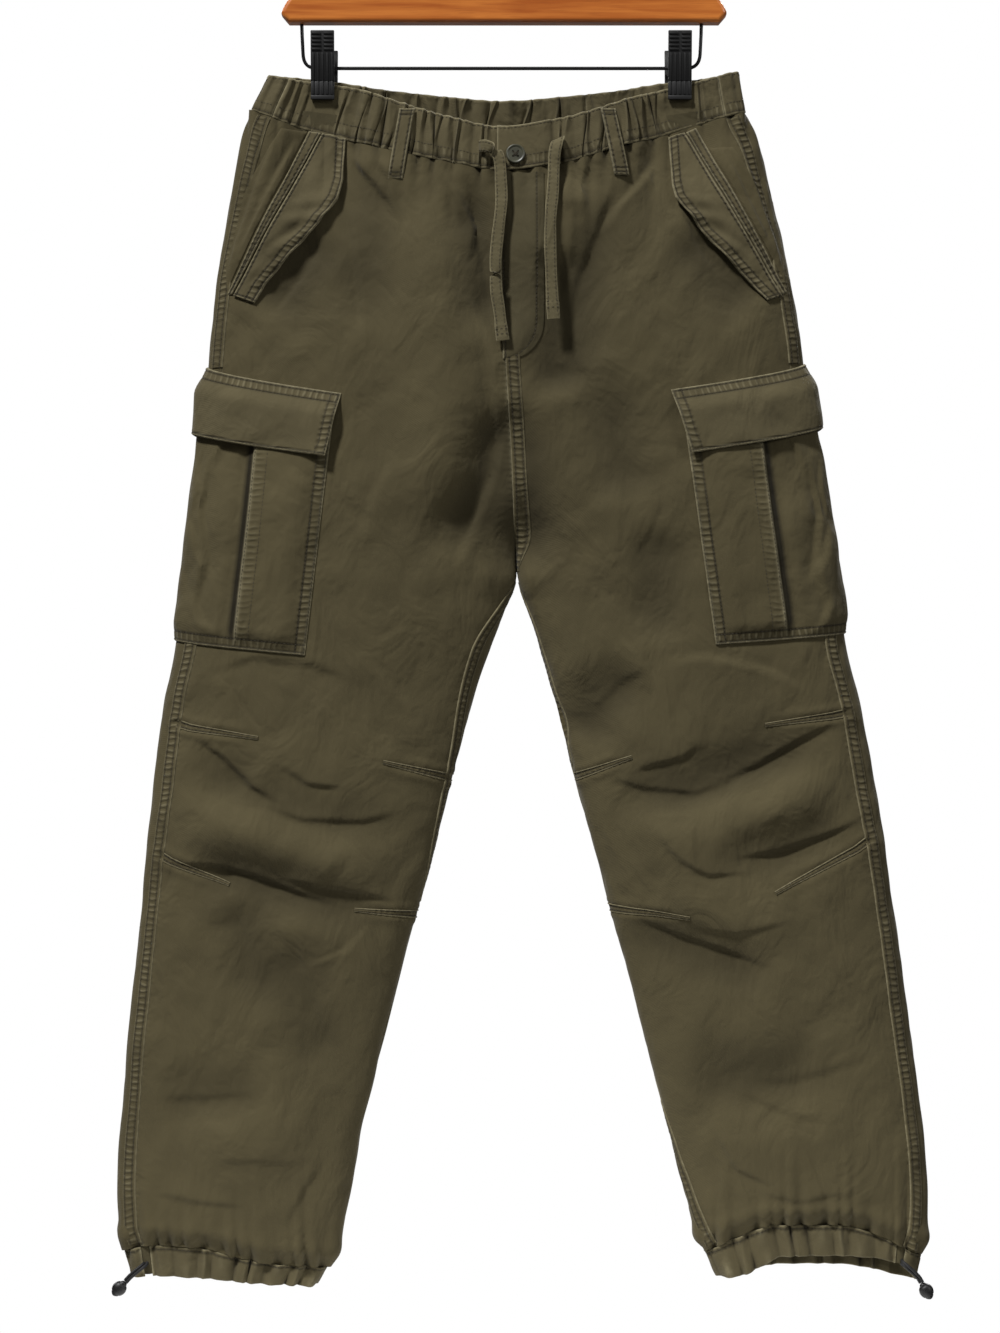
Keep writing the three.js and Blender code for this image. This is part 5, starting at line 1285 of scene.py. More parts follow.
def makeBeltLoops():
    for name, face, xs, drops, width in beltLoops:
        sewn, free = ([(x + half, d) for x, d in zip(xs, drops)] for half in (-width / 2, width / 2))
        laidPiece(name, face, sewn, free, 1.9, "clothWorn", loopBow, rows=(2.2,), sewnRows=(2.2,),
                  endRows=(2.6, 6.0), step=1.2, detail=0.25)
    print("belt loops made")


# Fly

fly = {"top": 246, "end": 404, "round": 34, "leftTop": -5, "leftEnd": -1, "tip": 3, "right": 33.5,
       "wall": 1.2}


def makeFly():
    length = fly["end"] - fly["top"]
    down = gradedShares(length, 0.9, 2.2, 6)[:, None]
    drop = fly["top"] + down * length
    below = np.maximum(0, drop - (fly["end"] - fly["round"])) / fly["round"]
    left = mix(fly["leftTop"], fly["leftEnd"], down)
    right = mix(fly["tip"], fly["right"], np.sqrt(np.maximum(0, 1 - below * below)))
    across = gradedShares(36, 0.8, 1.8, 8)[None, :]
    x = mix(left, right, across)
    drop = drop + 0 * across
    toLeft, toRight = x - left, right - x
    wobble, groove, near = puckered(toRight, drop, (6.0,), 0.3, 0.2)
    wobble2, groove2, near2 = puckered(toLeft, drop, (2.4,), 0.3, 0.1)
    edge = np.minimum(np.minimum(toLeft, toRight + 0.6), fly["end"] - drop + 0.5)
    roll = rolled(edge, 1.2)
    ripples = 0.25 * np.sin(drop / 11 + 2 * np.sin(drop / 31)) * np.sin(math.pi * across)
    thick = fly["wall"] * (0.2 + 0.8 * roll) * (0.35 + 0.65 * smooth(toRight / 14))
    lift = 0.45 + thick + wobble + wobble2 + ripples
    outer, normal = over("front", x, drop, lift, 1.0, True)
    inner = over("front", x, drop, 0.1, 1.0)
    values = {"wearAndHighlight": worn(toLeft, 1.1), "seam": np.clip(near + near2, 0, 1) * 0.3, "run": drop,
              "groove": np.clip(groove + groove2, 0, 1) * 0.6}
    thing = finish(wallMesh("fly_front_cloth", outer, inner, values), "clothDark", "fly_front")
    picked = np.arange(len(down))
    for row, distance in ((6.0, toRight), (2.4, toLeft)):
        index = nearest(distance, row)
        keep = np.abs(distance[picked, index] - row) < 1.2
        sew(outer, normal, picked[keep], index[keep])
    print("fly made")


# Cargo pockets

cargo = {  # x of the front end, drop at the side of the leg and slant of each edge
    "left": {"flapTop": (-136.5, 407, 25), "flapEnd": (-148.7, 465, 21), "pocketTop": (-143, 428, 23),
             "pocketEnd": (-166.7, 639, 13)},
    "right": {"flapTop": (139.8, 404, 25), "flapEnd": (156.6, 460, 23), "pocketTop": (150, 424, 23),
              "pocketEnd": (177.3, 633, 10)},
}
cargoForm = {"backWidth": 88, "hollow": 2.9, "pleat": 3.0, "pleatAt": 0.64, "wall": 1.6, "flapWall": 1.7,
             "slantShape": 1.3, "lift": 0.5, "border": (2.0, 8.5), "halfFront": 118, "halfBack": 100}


def cargoPlace(side, roundAt, down, top, end):
    dropOf = lambda edge: edge[1] + edge[2] * np.abs(roundAt) ** cargoForm["slantShape"]
    height = mix(dropOf(top), dropOf(end), down)
    inX, outX = ring(side, height)[:2]
    backX = outX + np.sign(inX - outX) * cargoForm["backWidth"]
    frontTurn = turnAt(side, height, mix(top[0], end[0], down))
    backTurn = 2 - turnAt(side, height, backX)
    return np.where(roundAt < 0, mix(1, frontTurn, -roundAt), mix(1, backTurn, roundAt)), height


def cargoPiece(node, side, kind, top, end, liftOf, wall, borderEnd, borderTop, tall):
    front = -gradedShares(cargoForm["halfFront"], 0.9, 2.6, 11)[::-1]
    pleatZone = np.linspace(-0.02, 0.03, 9) + cargoForm["pleatAt"]
    back = gradedShares(cargoForm["halfBack"], 1.2, 3.4, 11)
    roundAt = np.unique(np.round(np.concatenate([front, -pleatZone, pleatZone, back]), 5))[None, :]
    down = gradedShares(tall, 0.9, 2.8, 11)[:, None]
    turn, height = cargoPlace(side, roundAt, down, top, end)
    flat = surface(side, turn, height, 0, 0)
    acrossStep = np.linalg.norm(np.diff(flat, axis=1), axis=-1)
    acrossAt = np.concatenate([np.zeros((len(down), 1)), np.cumsum(acrossStep, 1)], 1)
    toFront, toBack = acrossAt, acrossAt[:, -1:] - acrossAt
    toTop, toEnd = down * tall + 0 * turn, (1 - down) * tall + 0 * turn
    edge = np.minimum(np.minimum(toFront, toBack), np.minimum(toTop, toEnd))
    wobble, groove, near = 0, 0 * edge, 0 * edge
    sets = [(cargoForm["border"], toFront, height), (cargoForm["border"], toBack, height)]
    sets.append((borderEnd, toEnd, acrossAt))
    if borderTop:
        sets.append((borderTop, toTop, acrossAt))
    for rowsOf, distance, way in sets:
        w, g, n = puckered(distance, way, rowsOf, 0.45, 0.15)
        wobble, groove, near = wobble + w, np.maximum(groove, g), np.maximum(near, n)
    roll = rolled(edge, 1.2)
    lift, extraWear, extraSeam, shade = liftOf(roundAt, down, toTop, toEnd, toFront, toBack)
    outer, normal = surface(side, turn, height, lift + wall * (0.2 + 0.8 * roll) + wobble * roll,
                            withNormal=True)
    inner = surface(side, turn, height, np.maximum(lift - 0.1, 0.25))
    alongAt = np.where(n > 0.3, acrossAt, height)
    # The groove value adds the painted shade beside the pleat to the stitch rows' dark lines
    values = {"wearAndHighlight": np.clip(worn(edge, 1.5) + extraWear, 0, 1),
              "seam": np.clip(near + extraSeam, 0, 1) * 0.85,
              "run": alongAt, "groove": np.clip(groove * 0.9 + shade, 0, 1)}
    thing = finish(wallMesh(f"{node}_cloth", outer, inner, values, coarse=2), kind, node)
    picked = np.arange(len(down))
    for rowsOf, distance, _ in sets[:2]:
        for row in rowsOf:
            index = nearest(distance, row)
            keep = np.minimum(toTop, toEnd)[picked, index] > 1.8
            sew(outer, normal, picked[keep], index[keep])
    for rowsOf, distance, _ in sets[2:]:
        for row in rowsOf:
            r = nearest(distance[:, 0], row)
            sew(outer, normal, r, np.minimum(toFront, toBack)[r] > 1.8)
    return outer, normal, roundAt, toEnd


pocketCreases = [
    (6, 2.0, [(36, 30), (30, 90), (44, 135), (36, 185)]), (4, 1.4, [(54, 14), (44, 34), (40, 58)]),
    (5, 1.5, [(18, 96), (34, 128), (56, 150)]), (5, 1.5, [(30, 156), (44, 184), (62, 196)]),
    (4, 1.1, [(14, 40), (24, 70), (20, 100)]),
]


def makeCargoPockets():
    for side, shape in cargo.items():
        seed = 0.0 if side == "left" else 2.1

        def pocketLift(roundAt, down, toTop, toEnd, toFront, toBack):
            body = smooth(toFront / 24) * smooth(toBack / 24) * smooth(toEnd / 18)
            body = body * (0.75 + 0.25 * smooth(down / 0.4))
            away = np.abs(roundAt) - cargoForm["pleatAt"]
            pleat = smooth(away / 0.015)
            outside = np.exp(-((away + 0.05) / 0.03) ** 2)
            sag = np.where(away < -0.01, 1, 0.25)
            swirl = np.sin(roundAt * 12 + 2 * np.sin(down * 5 + seed))
            bumps = 0.8 * np.sin(down * 9 + roundAt * 7 + seed) * swirl
            bumps = bumps + 0.5 * np.sin(down * 17 + roundAt * 5 + 2 * seed) * np.sin(roundAt * 5 + down * 3)
            hollow = cargoForm["hollow"] + cargoForm["pleat"] * pleat - 2.0 * outside
            lift = cargoForm["lift"] + body * hollow + body * sag * bumps * 1.2
            for width, depth, path in pocketCreases:
                for way in (-1, 1):
                    across = roundAt * cargoForm["halfFront"] * way + 0 * down
                    sideways, lower = (4, 9) if way > 0 else (0, 0)
                    bent = [(-x - sideways, d + lower + 5 * seed) for x, d in path]
                    near, beside, share = pathDistance(bent, across, toTop + 0 * across)
                    ends = smooth(share / 0.3) * smooth((1 - share) / 0.3)
                    step = np.tanh(beside / (0.35 * width)) * np.exp(-near / (1.8 * width))
                    lift = lift + 1.6 * body * ends * depth * step
            ridge = np.exp(-((away - 0.016) / 0.01) ** 2) * body
            rows = np.exp(-((away - 0.05) / 0.03) ** 2) * body
            # Painted shade on the cloth beside the pleat's fold
            shade = np.exp(-((away + 0.012) / 0.022) ** 2) * body
            return lift, ridge, rows * 0.7, shade

        outer, normal, roundAt, toEnd = cargoPiece(
            f"cargo_pocket_{side}", side, "cloth", shape["pocketTop"], shape["pocketEnd"], pocketLift,
            cargoForm["wall"], (2.2, 8.8), None, 216.0)
        for at in (-0.66, -0.72, 0.66, 0.72):
            column = nearest(roundAt[0], at)
            sew(outer, normal, toEnd[:, column] > 10, column)

        def cargoFlapLift(roundAt, down, toTop, toEnd, toFront, toBack):
            stand = smooth(down / 0.4) * (cargoForm["hollow"] + cargoForm["pleat"] + 1.6 + 0.5)
            bumps = 0.9 * np.sin(roundAt * 11 + seed + 2 * np.sin(down * 3)) * np.sin(down * 4 + roundAt * 3)
            corner = 0.6 * np.exp(-(np.minimum(toFront, toBack) / 14) ** 2) * smooth(down)
            none = 0 * toTop
            return cargoForm["lift"] + stand + bumps * smooth(down) + corner + none, none, none, none

        cargoPiece(f"cargo_flap_{side}", side, "clothWorn", shape["flapTop"], shape["flapEnd"], cargoFlapLift,
                   cargoForm["flapWall"], (2.2,), (2.2, 9.0), 58.0)
    print("cargo pockets made")


# Hem casings

casing = {"wall": 2.0, "gathers": 22, "stepsPerGather": 12, "height": 3.3, "slit": 4, "seamGap": 0.5,
          "tall": 26.0}


def makeHemCasings():
    for side in ("left", "right"):
        top, end = sizes["hemSeam"], sizes["hemEnd"]
        middle = np.array((top + end) / 2)
        seam = float(seamTurn(side, middle))
        inX, outX = ring(side, middle)[:2]
        slit = float(casing["slit"] / abs(outX - inX))
        shares, wave, k = gatherColumns(casing["gathers"], casing["stepsPerGather"])
        _, turn, length = evenTurns([(side, seam - 2 + slit, seam - slit)], float(middle))(shares[None, :])
        down = gradedShares(casing["tall"], 0.7, 1.8, 3.4)[:, None]
        height = mix(top + casing["seamGap"], end, down)
        swing = 0.8 + 0.35 * np.sin(down * 5 + k[None, :] * 0.9) * np.sin(k[None, :] * 1.1)
        run = shares[None, :] * length + 0 * down
        wobble, groove, near = puckered(down * casing["tall"], run, (3.0,), 0.3, 0.25, 5)
        fromEdge = np.minimum(down, 1 - down) * casing["tall"]
        ends = np.minimum(shares, 1 - shares)[None, :] * length
        roll = rolled(np.minimum(fromEdge, ends + 0.4), 1.4)
        gather = casing["height"] * (wave[None, :] * swing - 0.6)
        outer, normal = surface(side, turn, height, gather + wobble - (1 - roll) * casing["wall"] * 0.4, 0,
                                True)
        inner = surface(side, turn, height, gather - casing["wall"] * (0.55 + 0.45 * roll), 0)
        # Painted highlight on the gather crests, carried by the wear attribute beside the real wear of the
        # edges, and painted shade in the gather valleys, carried by the groove attribute beside the stitch
        # row
        crest = np.clip(wave[None, :] * swing, 0, 1)
        values = {
            "wearAndHighlight": np.clip(0.6 * worn(fromEdge, 0.9) + worn(ends, 1.2) + 0.5 * crest ** 3 + 0 * down, 0, 1),
            "seam": near * 0.8, "run": run,
            "groove": np.clip(groove * 0.6 + np.clip(-wave[None, :] * swing - 0.2, 0, 1) * 1.1, 0, 1),
        }
        thing = finish(wallMesh(f"hem_casing_{side}_cloth", outer, inner, values), "clothWorn",
                       f"hem_casing_{side}")
        sew(outer, normal, nearest(down[:, 0] * casing["tall"], 3.0), slice(3, -3))
        ringTurn = np.linspace(seam - 2 + slit, seam - slit, 90)[None, :]
        ringHeight = np.linspace(top - 9, top + 9, 7)[:, None]
        allowance = [surface(side, ringTurn, ringHeight, -depth, 0) for depth in (7.4, 8.4)]
        finish(wallMesh(f"hem_allowance_{side}", *allowance), "clothDark")
        tuckTurn = seam + np.linspace(-2.6, 2.6, 14)[None, :] * slit
        tuckHeight = np.linspace(1138, 1176, 16)[:, None]
        fold = 0.7 * np.cos((tuckTurn - seam) / slit * 2.2)
        tuck = [surface(side, tuckTurn, tuckHeight, fold - depth, 0) for depth in (2.9, 4.1)]
        finish(wallMesh(f"hem_tuck_{side}", *tuck), "clothDark")
    print("hem casings made")


# Button

buttonForm = {"x": 9.6, "drop": 230.6, "radius": 8.2, "thickness": 2.6, "hole": 1.0, "holeOffset": 2.0,
              "lift": 3.4,
              "dish": 0.7}


def makeButton():
    radius, thick = buttonForm["radius"], buttonForm["thickness"]
    profile = [(0.01, thick - buttonForm["dish"]), (radius - 2.4, thick - buttonForm["dish"]),
               (radius - 1.7, thick - 0.15), (radius - 0.9, thick), (radius - 0.25, thick - 0.4),
               (radius, thick - 1.1),
               (radius - 0.3, 0.35), (radius - 1.2, 0), (0.01, 0)]
    sides = 48
    turn = np.arange(sides) / sides * 2 * math.pi
    points = [(r * math.cos(t), -h, r * math.sin(t)) for r, h in profile for t in turn]
    faces = [[i * sides + j, i * sides + (j + 1) % sides, (i + 1) * sides + (j + 1) % sides,
              (i + 1) * sides + j]
             for i in range(len(profile) - 1) for j in range(sides)]
    faces += [list(range(sides)), list(range((len(profile) - 1) * sides, len(profile) * sides))]
    disc = meshObject("button_disc", points, faces, angle=35)
    drill = bmesh.new()
    offset = buttonForm["holeOffset"]
    for i, j in ((1, 1), (1, -1), (-1, 1), (-1, -1)):
        made = bmesh.ops.create_cone(drill, cap_ends=True, segments=16, radius1=buttonForm["hole"] * mm,
                                     radius2=buttonForm["hole"] * mm, depth=8 * mm)
        bmesh.ops.rotate(drill, verts=made["verts"], cent=(0, 0, 0),
                         matrix=Matrix.Rotation(math.radians(90), 3, "X"))
        bmesh.ops.translate(drill, verts=made["verts"], vec=(i * offset * mm, -1.2 * mm, j * offset * mm))
    drillMesh = bpy.data.meshes.new("drill")
    drill.to_mesh(drillMesh)
    drill.free()
    drillObject = linked("drill", drillMesh)
    cut = disc.modifiers.new("holes", "BOOLEAN")
    cut.object = drillObject
    cut.operation = "DIFFERENCE"
    applied(disc)
    bpy.data.objects.remove(drillObject)
    onTab = lambda d: over("front", buttonForm["x"], d, buttonForm["lift"], 0)
    seat = onTab(buttonForm["drop"])
    slope = onTab(buttonForm["drop"] - radius) - onTab(buttonForm["drop"] + radius)
    tilt = math.atan2(-slope[1], slope[2])
    toSeat = Matrix.Translation(Vector((seat * mm).tolist())) @ Matrix.Rotation(tilt, 4, "X")
    disc.data.transform(toSeat)
    finish(disc, "button", "button")
    threads = []
    for a, b in (((1, 1), (-1, -1)), ((1, -1), (-1, 1))):
        for shift in (-0.35, 0.35):
            slant = -shift if a == (1, 1) else shift
            ends = [np.array([x * offset + shift, 0, z * offset + slant]) for x, z in (a, b)]
            t = np.linspace(-0.12, 1.12, 14)[:, None]
            line = mix(ends[0], ends[1], t)
            past = np.clip(-t[:, 0], 0, 1) + np.clip(t[:, 0] - 1, 0, 1)
            arch = 0.45 * np.sin(math.pi * np.clip(t[:, 0], 0, 1))
            line[:, 1] = buttonForm["dish"] - thick - arch + 7.2 * past
            forward = unit(np.gradient(line, axis=0))
            across = unit(np.cross(forward, [0, 1, 0]))
            threads.append(sweepMesh("thread", line, across, np.cross(forward, across), 0.55, 0.55, 8, 1))
    thread = joinedObjects(threads, "button_thread")
    thread.data.transform(toSeat)
    finish(thread, "thread")
    print("button made")


# Hanger

hanger = {
    "barHalf": 188.7, "barBottom": 115, "barThickness": 18, "endTop": 84, "neckTop": 70, "neckHalf": 16,
    "wireDrop": 152.8, "wireRadius": 1.5, "wireLeft": -170.8, "wireRight": 166.6, "corner": 12,
    "hookRadius": 20, "hookWire": 4,
}


def arc(start, control, end, count):
    t = np.linspace(0, 1, count)[:, None]
    start, control, end = (np.array(place, float) for place in (start, control, end))
    return (1 - t) ** 2 * start + 2 * (1 - t) * t * control + t ** 2 * end


def makeHanger():
    half, bottom, endTop = hanger["barHalf"], hanger["barBottom"], hanger["endTop"]
    neck, neckTop = hanger["neckHalf"], hanger["neckTop"]
    right = [(half - 6, bottom), (half, bottom - 7)]
    right += arc((half, bottom - 9), (half - 4, endTop + 12), (half - 16, endTop), 8).tolist()
    right += arc((half - 20, endTop - 0.5), (90, endTop - 3), (neck, neckTop), 16).tolist()
    outlineOf = right + [(-x, d) for x, d in reversed(right)]
    depth = hanger["barThickness"] / 2
    count = len(outlineOf)
    points = [(x, y, -d) for y in (-depth, depth) for x, d in outlineOf]
    faces = [list(range(count)), list(range(2 * count - 1, count - 1, -1))]
    faces += [[i, (i + 1) % count, count + (i + 1) % count, count + i] for i in range(count)]
    bar = meshObject("hanger_bar_wood", points, faces, angle=60)
    bevel = bar.modifiers.new("edges", "BEVEL")
    bevel.width = 5.2 * mm
    bevel.segments = 6
    bevel.limit_method = "ANGLE"
    bevel.angle_limit = math.radians(50)
    applied(bar)
    bar.data.shade_smooth()
    finish(bar, "wood", "hanger_bar")
    radius = hanger["hookRadius"] + hanger["hookWire"] / 2
    stem = [(0, 0, -d) for d in (82, 72, 62, 54)]
    angles = np.radians(np.linspace(-58, 200, 16))
    bow = [(radius * math.cos(a), 0, radius * math.sin(a) - hanger["hookRadius"]) for a in angles]
    line = curveThrough(stem + bow, 150)
    finish(rod("hanger_hook_steel", line, hanger["hookWire"], 20), "steel", "hanger_hook")
    corner, drop = hanger["corner"], hanger["wireDrop"]
    start, end = hanger["wireLeft"], hanger["wireRight"]
    route = [(start - 1.5, 103), (start - 0.8, 125)]
    route += arc((start, drop - corner), (start + 0.6, drop), (start + corner, drop), 9).tolist()
    route += [(x, drop) for x in np.linspace(start + 24, end - 24, 24)]
    route += arc((end - corner, drop), (end - 0.6, drop), (end, drop - corner), 9).tolist()
    route += [(end + 0.8, 125), (end + 1.5, 103)]
    line = np.array([(x, 0, -d) for x, d in route])
    finish(rod("hanger_wire_black", line, 2 * hanger["wireRadius"], 16), "blackWire", "hanger_wire")
    print("hanger made")


# Clips

clip = {
    "width": 20, "gripDrop": 165, "endDrop": 180.4, "grip": 3.9, "wall": 3, "spread": 4.6, "frontTop": 122.6,
    "backTop": 136, "backShift": 2.2, "bars": 5, "barWidth": 1.7, "ridges": 5, "coilRadius": 4.1,
    "coilWire": 1.3, "coilTurns": 8, "coilLength": 13.5,
}


def boxPoints(low, high):
    return [(x, y, z) for x in (low[0], high[0]) for y in (low[1], high[1]) for z in (low[2], high[2])]


def beveledBoxes(name, boxes, width):
    work = bmesh.new()
    for low, high, slope in boxes:
        verts = []
        for x, y, z in boxPoints(low, high):
            shift = slope(-z) if slope else 0
            verts.append(work.verts.new((x * mm, (y + shift) * mm, z * mm)))
        bmesh.ops.convex_hull(work, input=verts)
    bmesh.ops.dissolve_limit(work, angle_limit=0.02, verts=work.verts, edges=work.edges)
    mesh = bpy.data.meshes.new(name)
    work.to_mesh(mesh)
    work.free()
    thing = linked(name, mesh)
    bevel = thing.modifiers.new("edges", "BEVEL")
    bevel.width = width * mm
    bevel.segments = 3
    bevel.limit_method = "ANGLE"
    return applied(thing)


def makeClips():
    for side, inward in (("left", 1), ("right", -1)):
        centre = sizes["clipLeft"] if side == "left" else sizes["clipRight"]
        jaws = (("front", -1, clip["frontTop"], 0), ("back", 1, clip["backTop"], clip["backShift"]))
        for name, sign, topDrop, shift in jaws:
            reach = clip["gripDrop"] - clip["frontTop"]
            lean = lambda d: clip["spread"] * max(0, clip["gripDrop"] - d) / reach
            x = centre + inward * shift
            half = clip["width"] / 2
            inside, outside = clip["grip"], clip["grip"] + clip["wall"]
            slope = lambda d: sign * lean(d)
            span = lambda a, b: (min(sign * a, sign * b), max(sign * a, sign * b))
            y0, y1 = span(inside, outside)
            boxes = [((x - half, y0, -clip["gripDrop"]), (x + half, y1, -topDrop), slope),
                     ((x - half, y0, -clip["endDrop"]), (x + half, y1, -clip["gripDrop"] - 0.01), None)]
            ribs = []
            r0, r1 = span(outside - 0.3, outside + 0.9)
            for i in range(clip["bars"]):
                at = x - half + clip["width"] * (i + 0.5) / clip["bars"]
                w = clip["barWidth"] / 2
                ribs.append(((at - w, r0, -clip["gripDrop"]), (at + w, r1, -(topDrop + 19)), slope))
                ribs.append(((at - w, r0, -(clip["endDrop"] - 4)), (at + w, r1, -clip["gripDrop"] - 0.01),
                             None))
            if name == "front":
                for i in range(clip["ridges"]):
                    at = topDrop + 2.6 + i * 3.3
                    for part in (-1, 1):
                        a, b = (x - half + 0.8, x - 1.2) if part < 0 else (x + 1.2, x + half - 0.8)
                        ribs.append(((a, r0, -(at + 0.9)), (b, r1, -(at - 0.9)), slope))
            foot0, foot1 = span(outside - 0.3, outside + 0.7)
            foot = ((x - half, foot0, -clip["endDrop"]), (x + half, foot1, -(clip["endDrop"] - 3.4)), None)
            body = beveledBoxes("jaw body", boxes, 0.7)
            detail = beveledBoxes("jaw ribs", ribs + [foot], 0.35)
            jaw = joinedObjects([body, detail], f"clip_{side}_jaw_{name}_plastic")
            jaw.data.shade_smooth()
            jaw.data.set_sharp_from_angle(angle=math.radians(35))
            finish(jaw, "blackPlastic", f"clip_{side}_jaw_{name}")
        turns = np.linspace(0, clip["coilTurns"] * 2 * math.pi, clip["coilTurns"] * 22)
        line = np.stack([centre - clip["coilLength"] / 2 + clip["coilLength"] * turns / turns[-1],
                         clip["coilRadius"] * np.cos(turns),
                         -hanger["wireDrop"] + clip["coilRadius"] * np.sin(turns)], 1)
        forward = unit(np.gradient(line, axis=0))
        out = unit(line - np.stack([line[:, 0], 0 * turns, 0 * turns - hanger["wireDrop"]], 1))
        across = unit(np.cross(out, forward))
        coil = sweepMesh(f"clip_{side}_coil", line, across, np.cross(forward, across), clip["coilWire"],
                         clip["coilWire"], 8, 1)
        finish(coil, "steel", f"clip_{side}_spring")
    print("clips made")


# Stitches, made by Geometry Nodes along all the rows together

stitch = {"pitch": 3.1, "length": 2.5, "width": 0.62, "height": 0.42, "jitter": 0.16, "seed": 7}


def stitchTree():
    tree = bpy.data.node_groups.new("stitch rows", "GeometryNodeTree")
    face = tree.interface
    face.new_socket("Rows", in_out="INPUT", socket_type="NodeSocketGeometry")
    for name in ("Pitch", "Stitch Length", "Stitch Width", "Stitch Height", "Jitter"):
        face.new_socket(name, in_out="INPUT", socket_type="NodeSocketFloat")
    face.new_socket("Seed", in_out="INPUT", socket_type="NodeSocketInt")
    face.new_socket("Thread", in_out="INPUT", socket_type="NodeSocketMaterial")
    face.new_socket("Stitches", in_out="OUTPUT", socket_type="NodeSocketGeometry")
    make = Tree(tree).node
    given = make("NodeGroupInput").outputs
    line = make("GeometryNodeMeshToCurve", {"Mesh": given["Rows"]}).outputs[0]
    row = make("GeometryNodeResampleCurve", {"Curve": line, "Length": given["Pitch"]}, mode="LENGTH")
    ball = make("GeometryNodeMeshUVSphere", {"Segments": 5, "Rings": 4, "Radius": 0.5}).outputs[0]
    size = make("ShaderNodeCombineXYZ", {0: given["Stitch Length"], 1: given["Stitch Width"],
                                         2: given["Stitch Height"]}).outputs[0]
    shaped = make("GeometryNodeTransform", {"Geometry": ball, "Scale": size}).outputs[0]
    tangent = make("GeometryNodeInputTangent").outputs[0]
    normal = make("GeometryNodeInputNamedAttribute", {"Name": "clothNormal"},
                  data_type="FLOAT_VECTOR").outputs[0]
    onLine = make("FunctionNodeAlignRotationToVector", {"Vector": tangent}, axis="X").outputs[0]
    onCloth = make("FunctionNodeAlignRotationToVector", {"Rotation": onLine, "Vector": normal}, axis="Z",
                   pivot_axis="X").outputs[0]
    low = make("ShaderNodeMath", {0: 1.0, 1: given["Jitter"]}, operation="SUBTRACT").outputs[0]
    high = make("ShaderNodeMath", {0: 1.0, 1: given["Jitter"]}, operation="ADD").outputs[0]
    uneven = make("FunctionNodeRandomValue", {"Seed": given["Seed"]}, data_type="FLOAT")
    tree.links.new(low, uneven.inputs[2])
    tree.links.new(high, uneven.inputs[3])
    placed = make("GeometryNodeInstanceOnPoints",
                  {"Points": row.outputs[0], "Instance": shaped, "Rotation": onCloth})
    tree.links.new(uneven.outputs[1], placed.inputs["Scale"])
    real = make("GeometryNodeRealizeInstances", {"Geometry": placed.outputs[0]}).outputs[0]
    colored = make("GeometryNodeSetMaterial", {"Geometry": real, "Material": given["Thread"]}).outputs[0]
    make("NodeGroupOutput", {"Stitches": colored})
    return tree


def makeStitches():
    tree = stitchTree()
    groups = [stitchPaths[0::3], stitchPaths[1::3], stitchPaths[2::3]]
    for number, paths in enumerate(groups):
        points = np.concatenate([place for place, _ in paths])
        normals = np.concatenate([normal for _, normal in paths])
        edges, start = [], 0
        for place, _ in paths:
            edges += [(start + i, start + i + 1) for i in range(len(place) - 1)]
            start += len(place)
        mesh = bpy.data.meshes.new("stitches")
        mesh.from_pydata((points * mm).tolist(), edges, [])
        mesh.attributes.new("clothNormal", "FLOAT_VECTOR",
                            "POINT").data.foreach_set("vector", normals.ravel())
        thing = linked(f"stitches_{number + 1}", mesh)
        sewing = thing.modifiers.new("sewing", "NODES")
        sewing.node_group = tree
        values = {
            "Pitch": stitch["pitch"] * mm, "Stitch Length": stitch["length"] * mm,
            "Stitch Width": stitch["width"] * mm,
            "Stitch Height": stitch["height"] * mm, "Jitter": stitch["jitter"],
            "Seed": stitch["seed"] + number,
            "Thread": finishes["thread"],
        }
        for item in tree.interface.items_tree:
            if item.in_out == "INPUT" and item.name in values:
                sewing[item.identifier] = values[item.name]
        applied(thing)
        thing.data.shade_smooth()
        finish(thing, "thread")
        print("stitches", number + 1, len(thing.data.polygons), "faces")


# Light, backdrop and floor

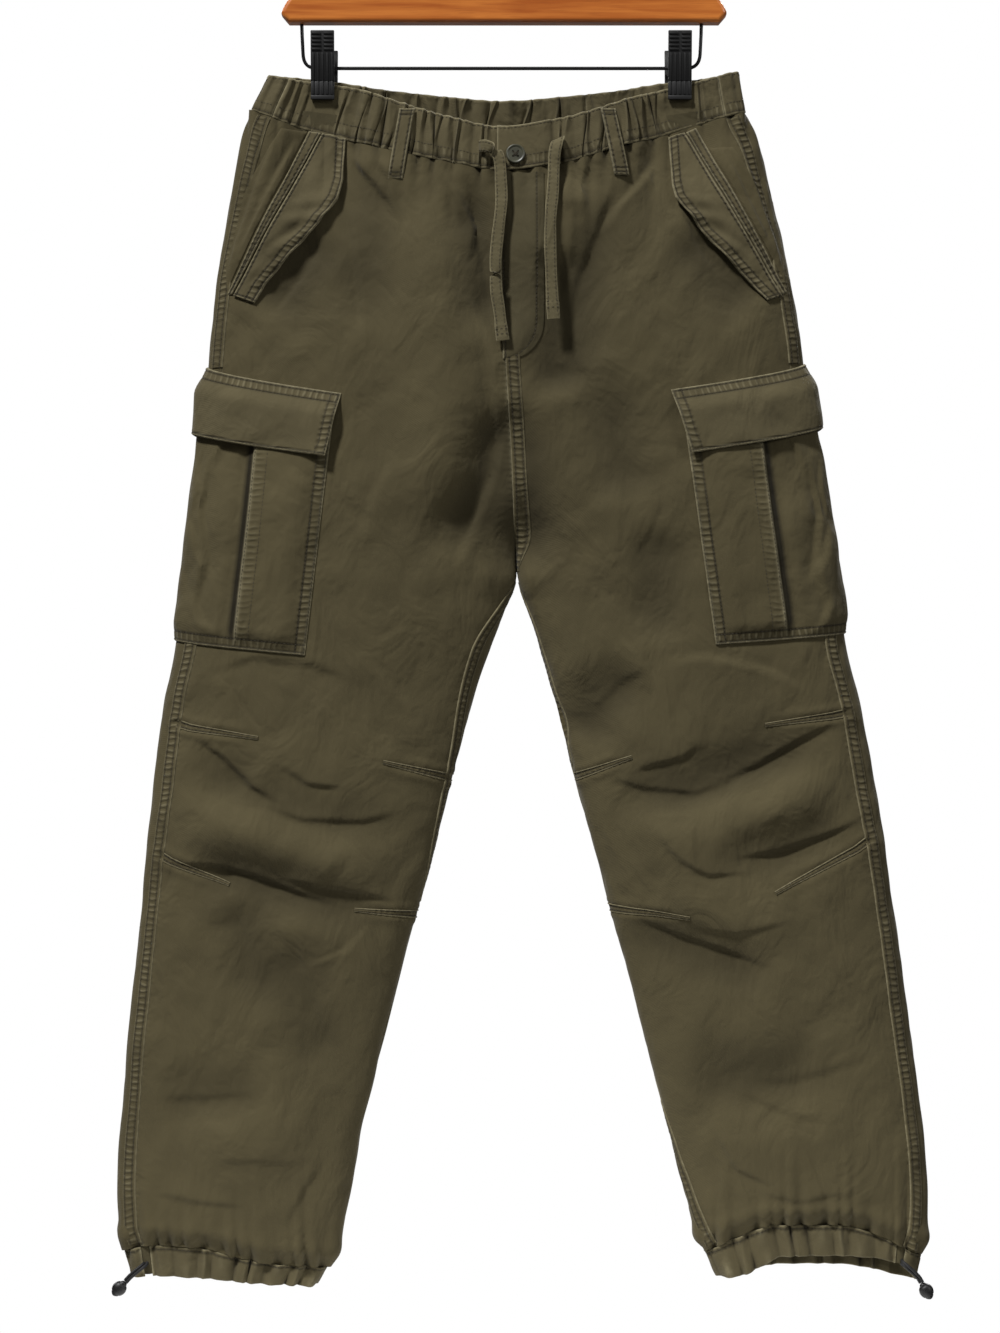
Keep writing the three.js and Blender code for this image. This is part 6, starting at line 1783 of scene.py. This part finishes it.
studio = {
    "world": 0.13, "floorDrop": 1345, "floorRadius": 450,
    "suns": [  # name, power, angle and direction
        ("key", 4.4, 8, (0.5, 0.62, -1.0)), ("fill", 0.7, 20, (-0.8, 0.7, -0.4)),
        ("back", 2.6, 16, (-0.5, -0.9, -0.75)),
        ("back fill", 0.9, 22, (0.6, -0.8, -0.35)),
    ],
}


def makeStudio():
    world = bpy.data.worlds.new("studio")
    bpy.context.scene.world = world
    world.use_nodes = True
    tree = Tree(world.node_tree)
    background = world.node_tree.nodes["Background"]
    background.inputs["Color"].default_value = (1, 1, 1, 1)
    background.inputs["Strength"].default_value = studio["world"]
    seen = tree.node("ShaderNodeBackground", {"Color": (1, 1, 1, 1), "Strength": 1.0})
    path = tree.node("ShaderNodeLightPath")
    blend = tree.node("ShaderNodeMixShader", {0: path.outputs["Is Camera Ray"], 1: background.outputs[0],
                                             2: seen.outputs[0]})
    output = world.node_tree.nodes["World Output"]
    world.node_tree.links.new(blend.outputs[0], output.inputs["Surface"])
    for name, power, angle, direction in studio["suns"]:
        data = bpy.data.lights.new(name, "SUN")
        data.energy = power
        data.angle = math.radians(angle)
        sun = linked(name, data)
        sun.rotation_euler = Vector(direction).to_track_quat("-Z", "Y").to_euler()
    sides = 64
    turn = np.arange(sides) / sides * 2 * math.pi
    radius = studio["floorRadius"]
    points = [(radius * math.cos(t), radius * math.sin(t), -studio["floorDrop"]) for t in turn]
    floor = meshObject("floor", points, [list(range(sides))])
    floor.data.materials.append(plainMaterial("pale floor", linear(236, 236, 234), 0.9, scale=8.0, vary=0.02))
    floor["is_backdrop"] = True


makePanels()
makeSeamStrips()
makeDarts()
makeWaistband()
makeHandPockets()
makeBeltLoops()
makeFly()
makeCargoPockets()
makeHemCasings()
makeButton()
makeHanger()
makeClips()
makeStitches()
makeStudio()

triangles = {o.name: sum(len(p.vertices) - 2 for p in o.data.polygons)
             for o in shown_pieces() if o.type == "MESH"}
print("triangles", sum(triangles.values()), sorted(triangles.items(), key=lambda item: -item[1])[:8])
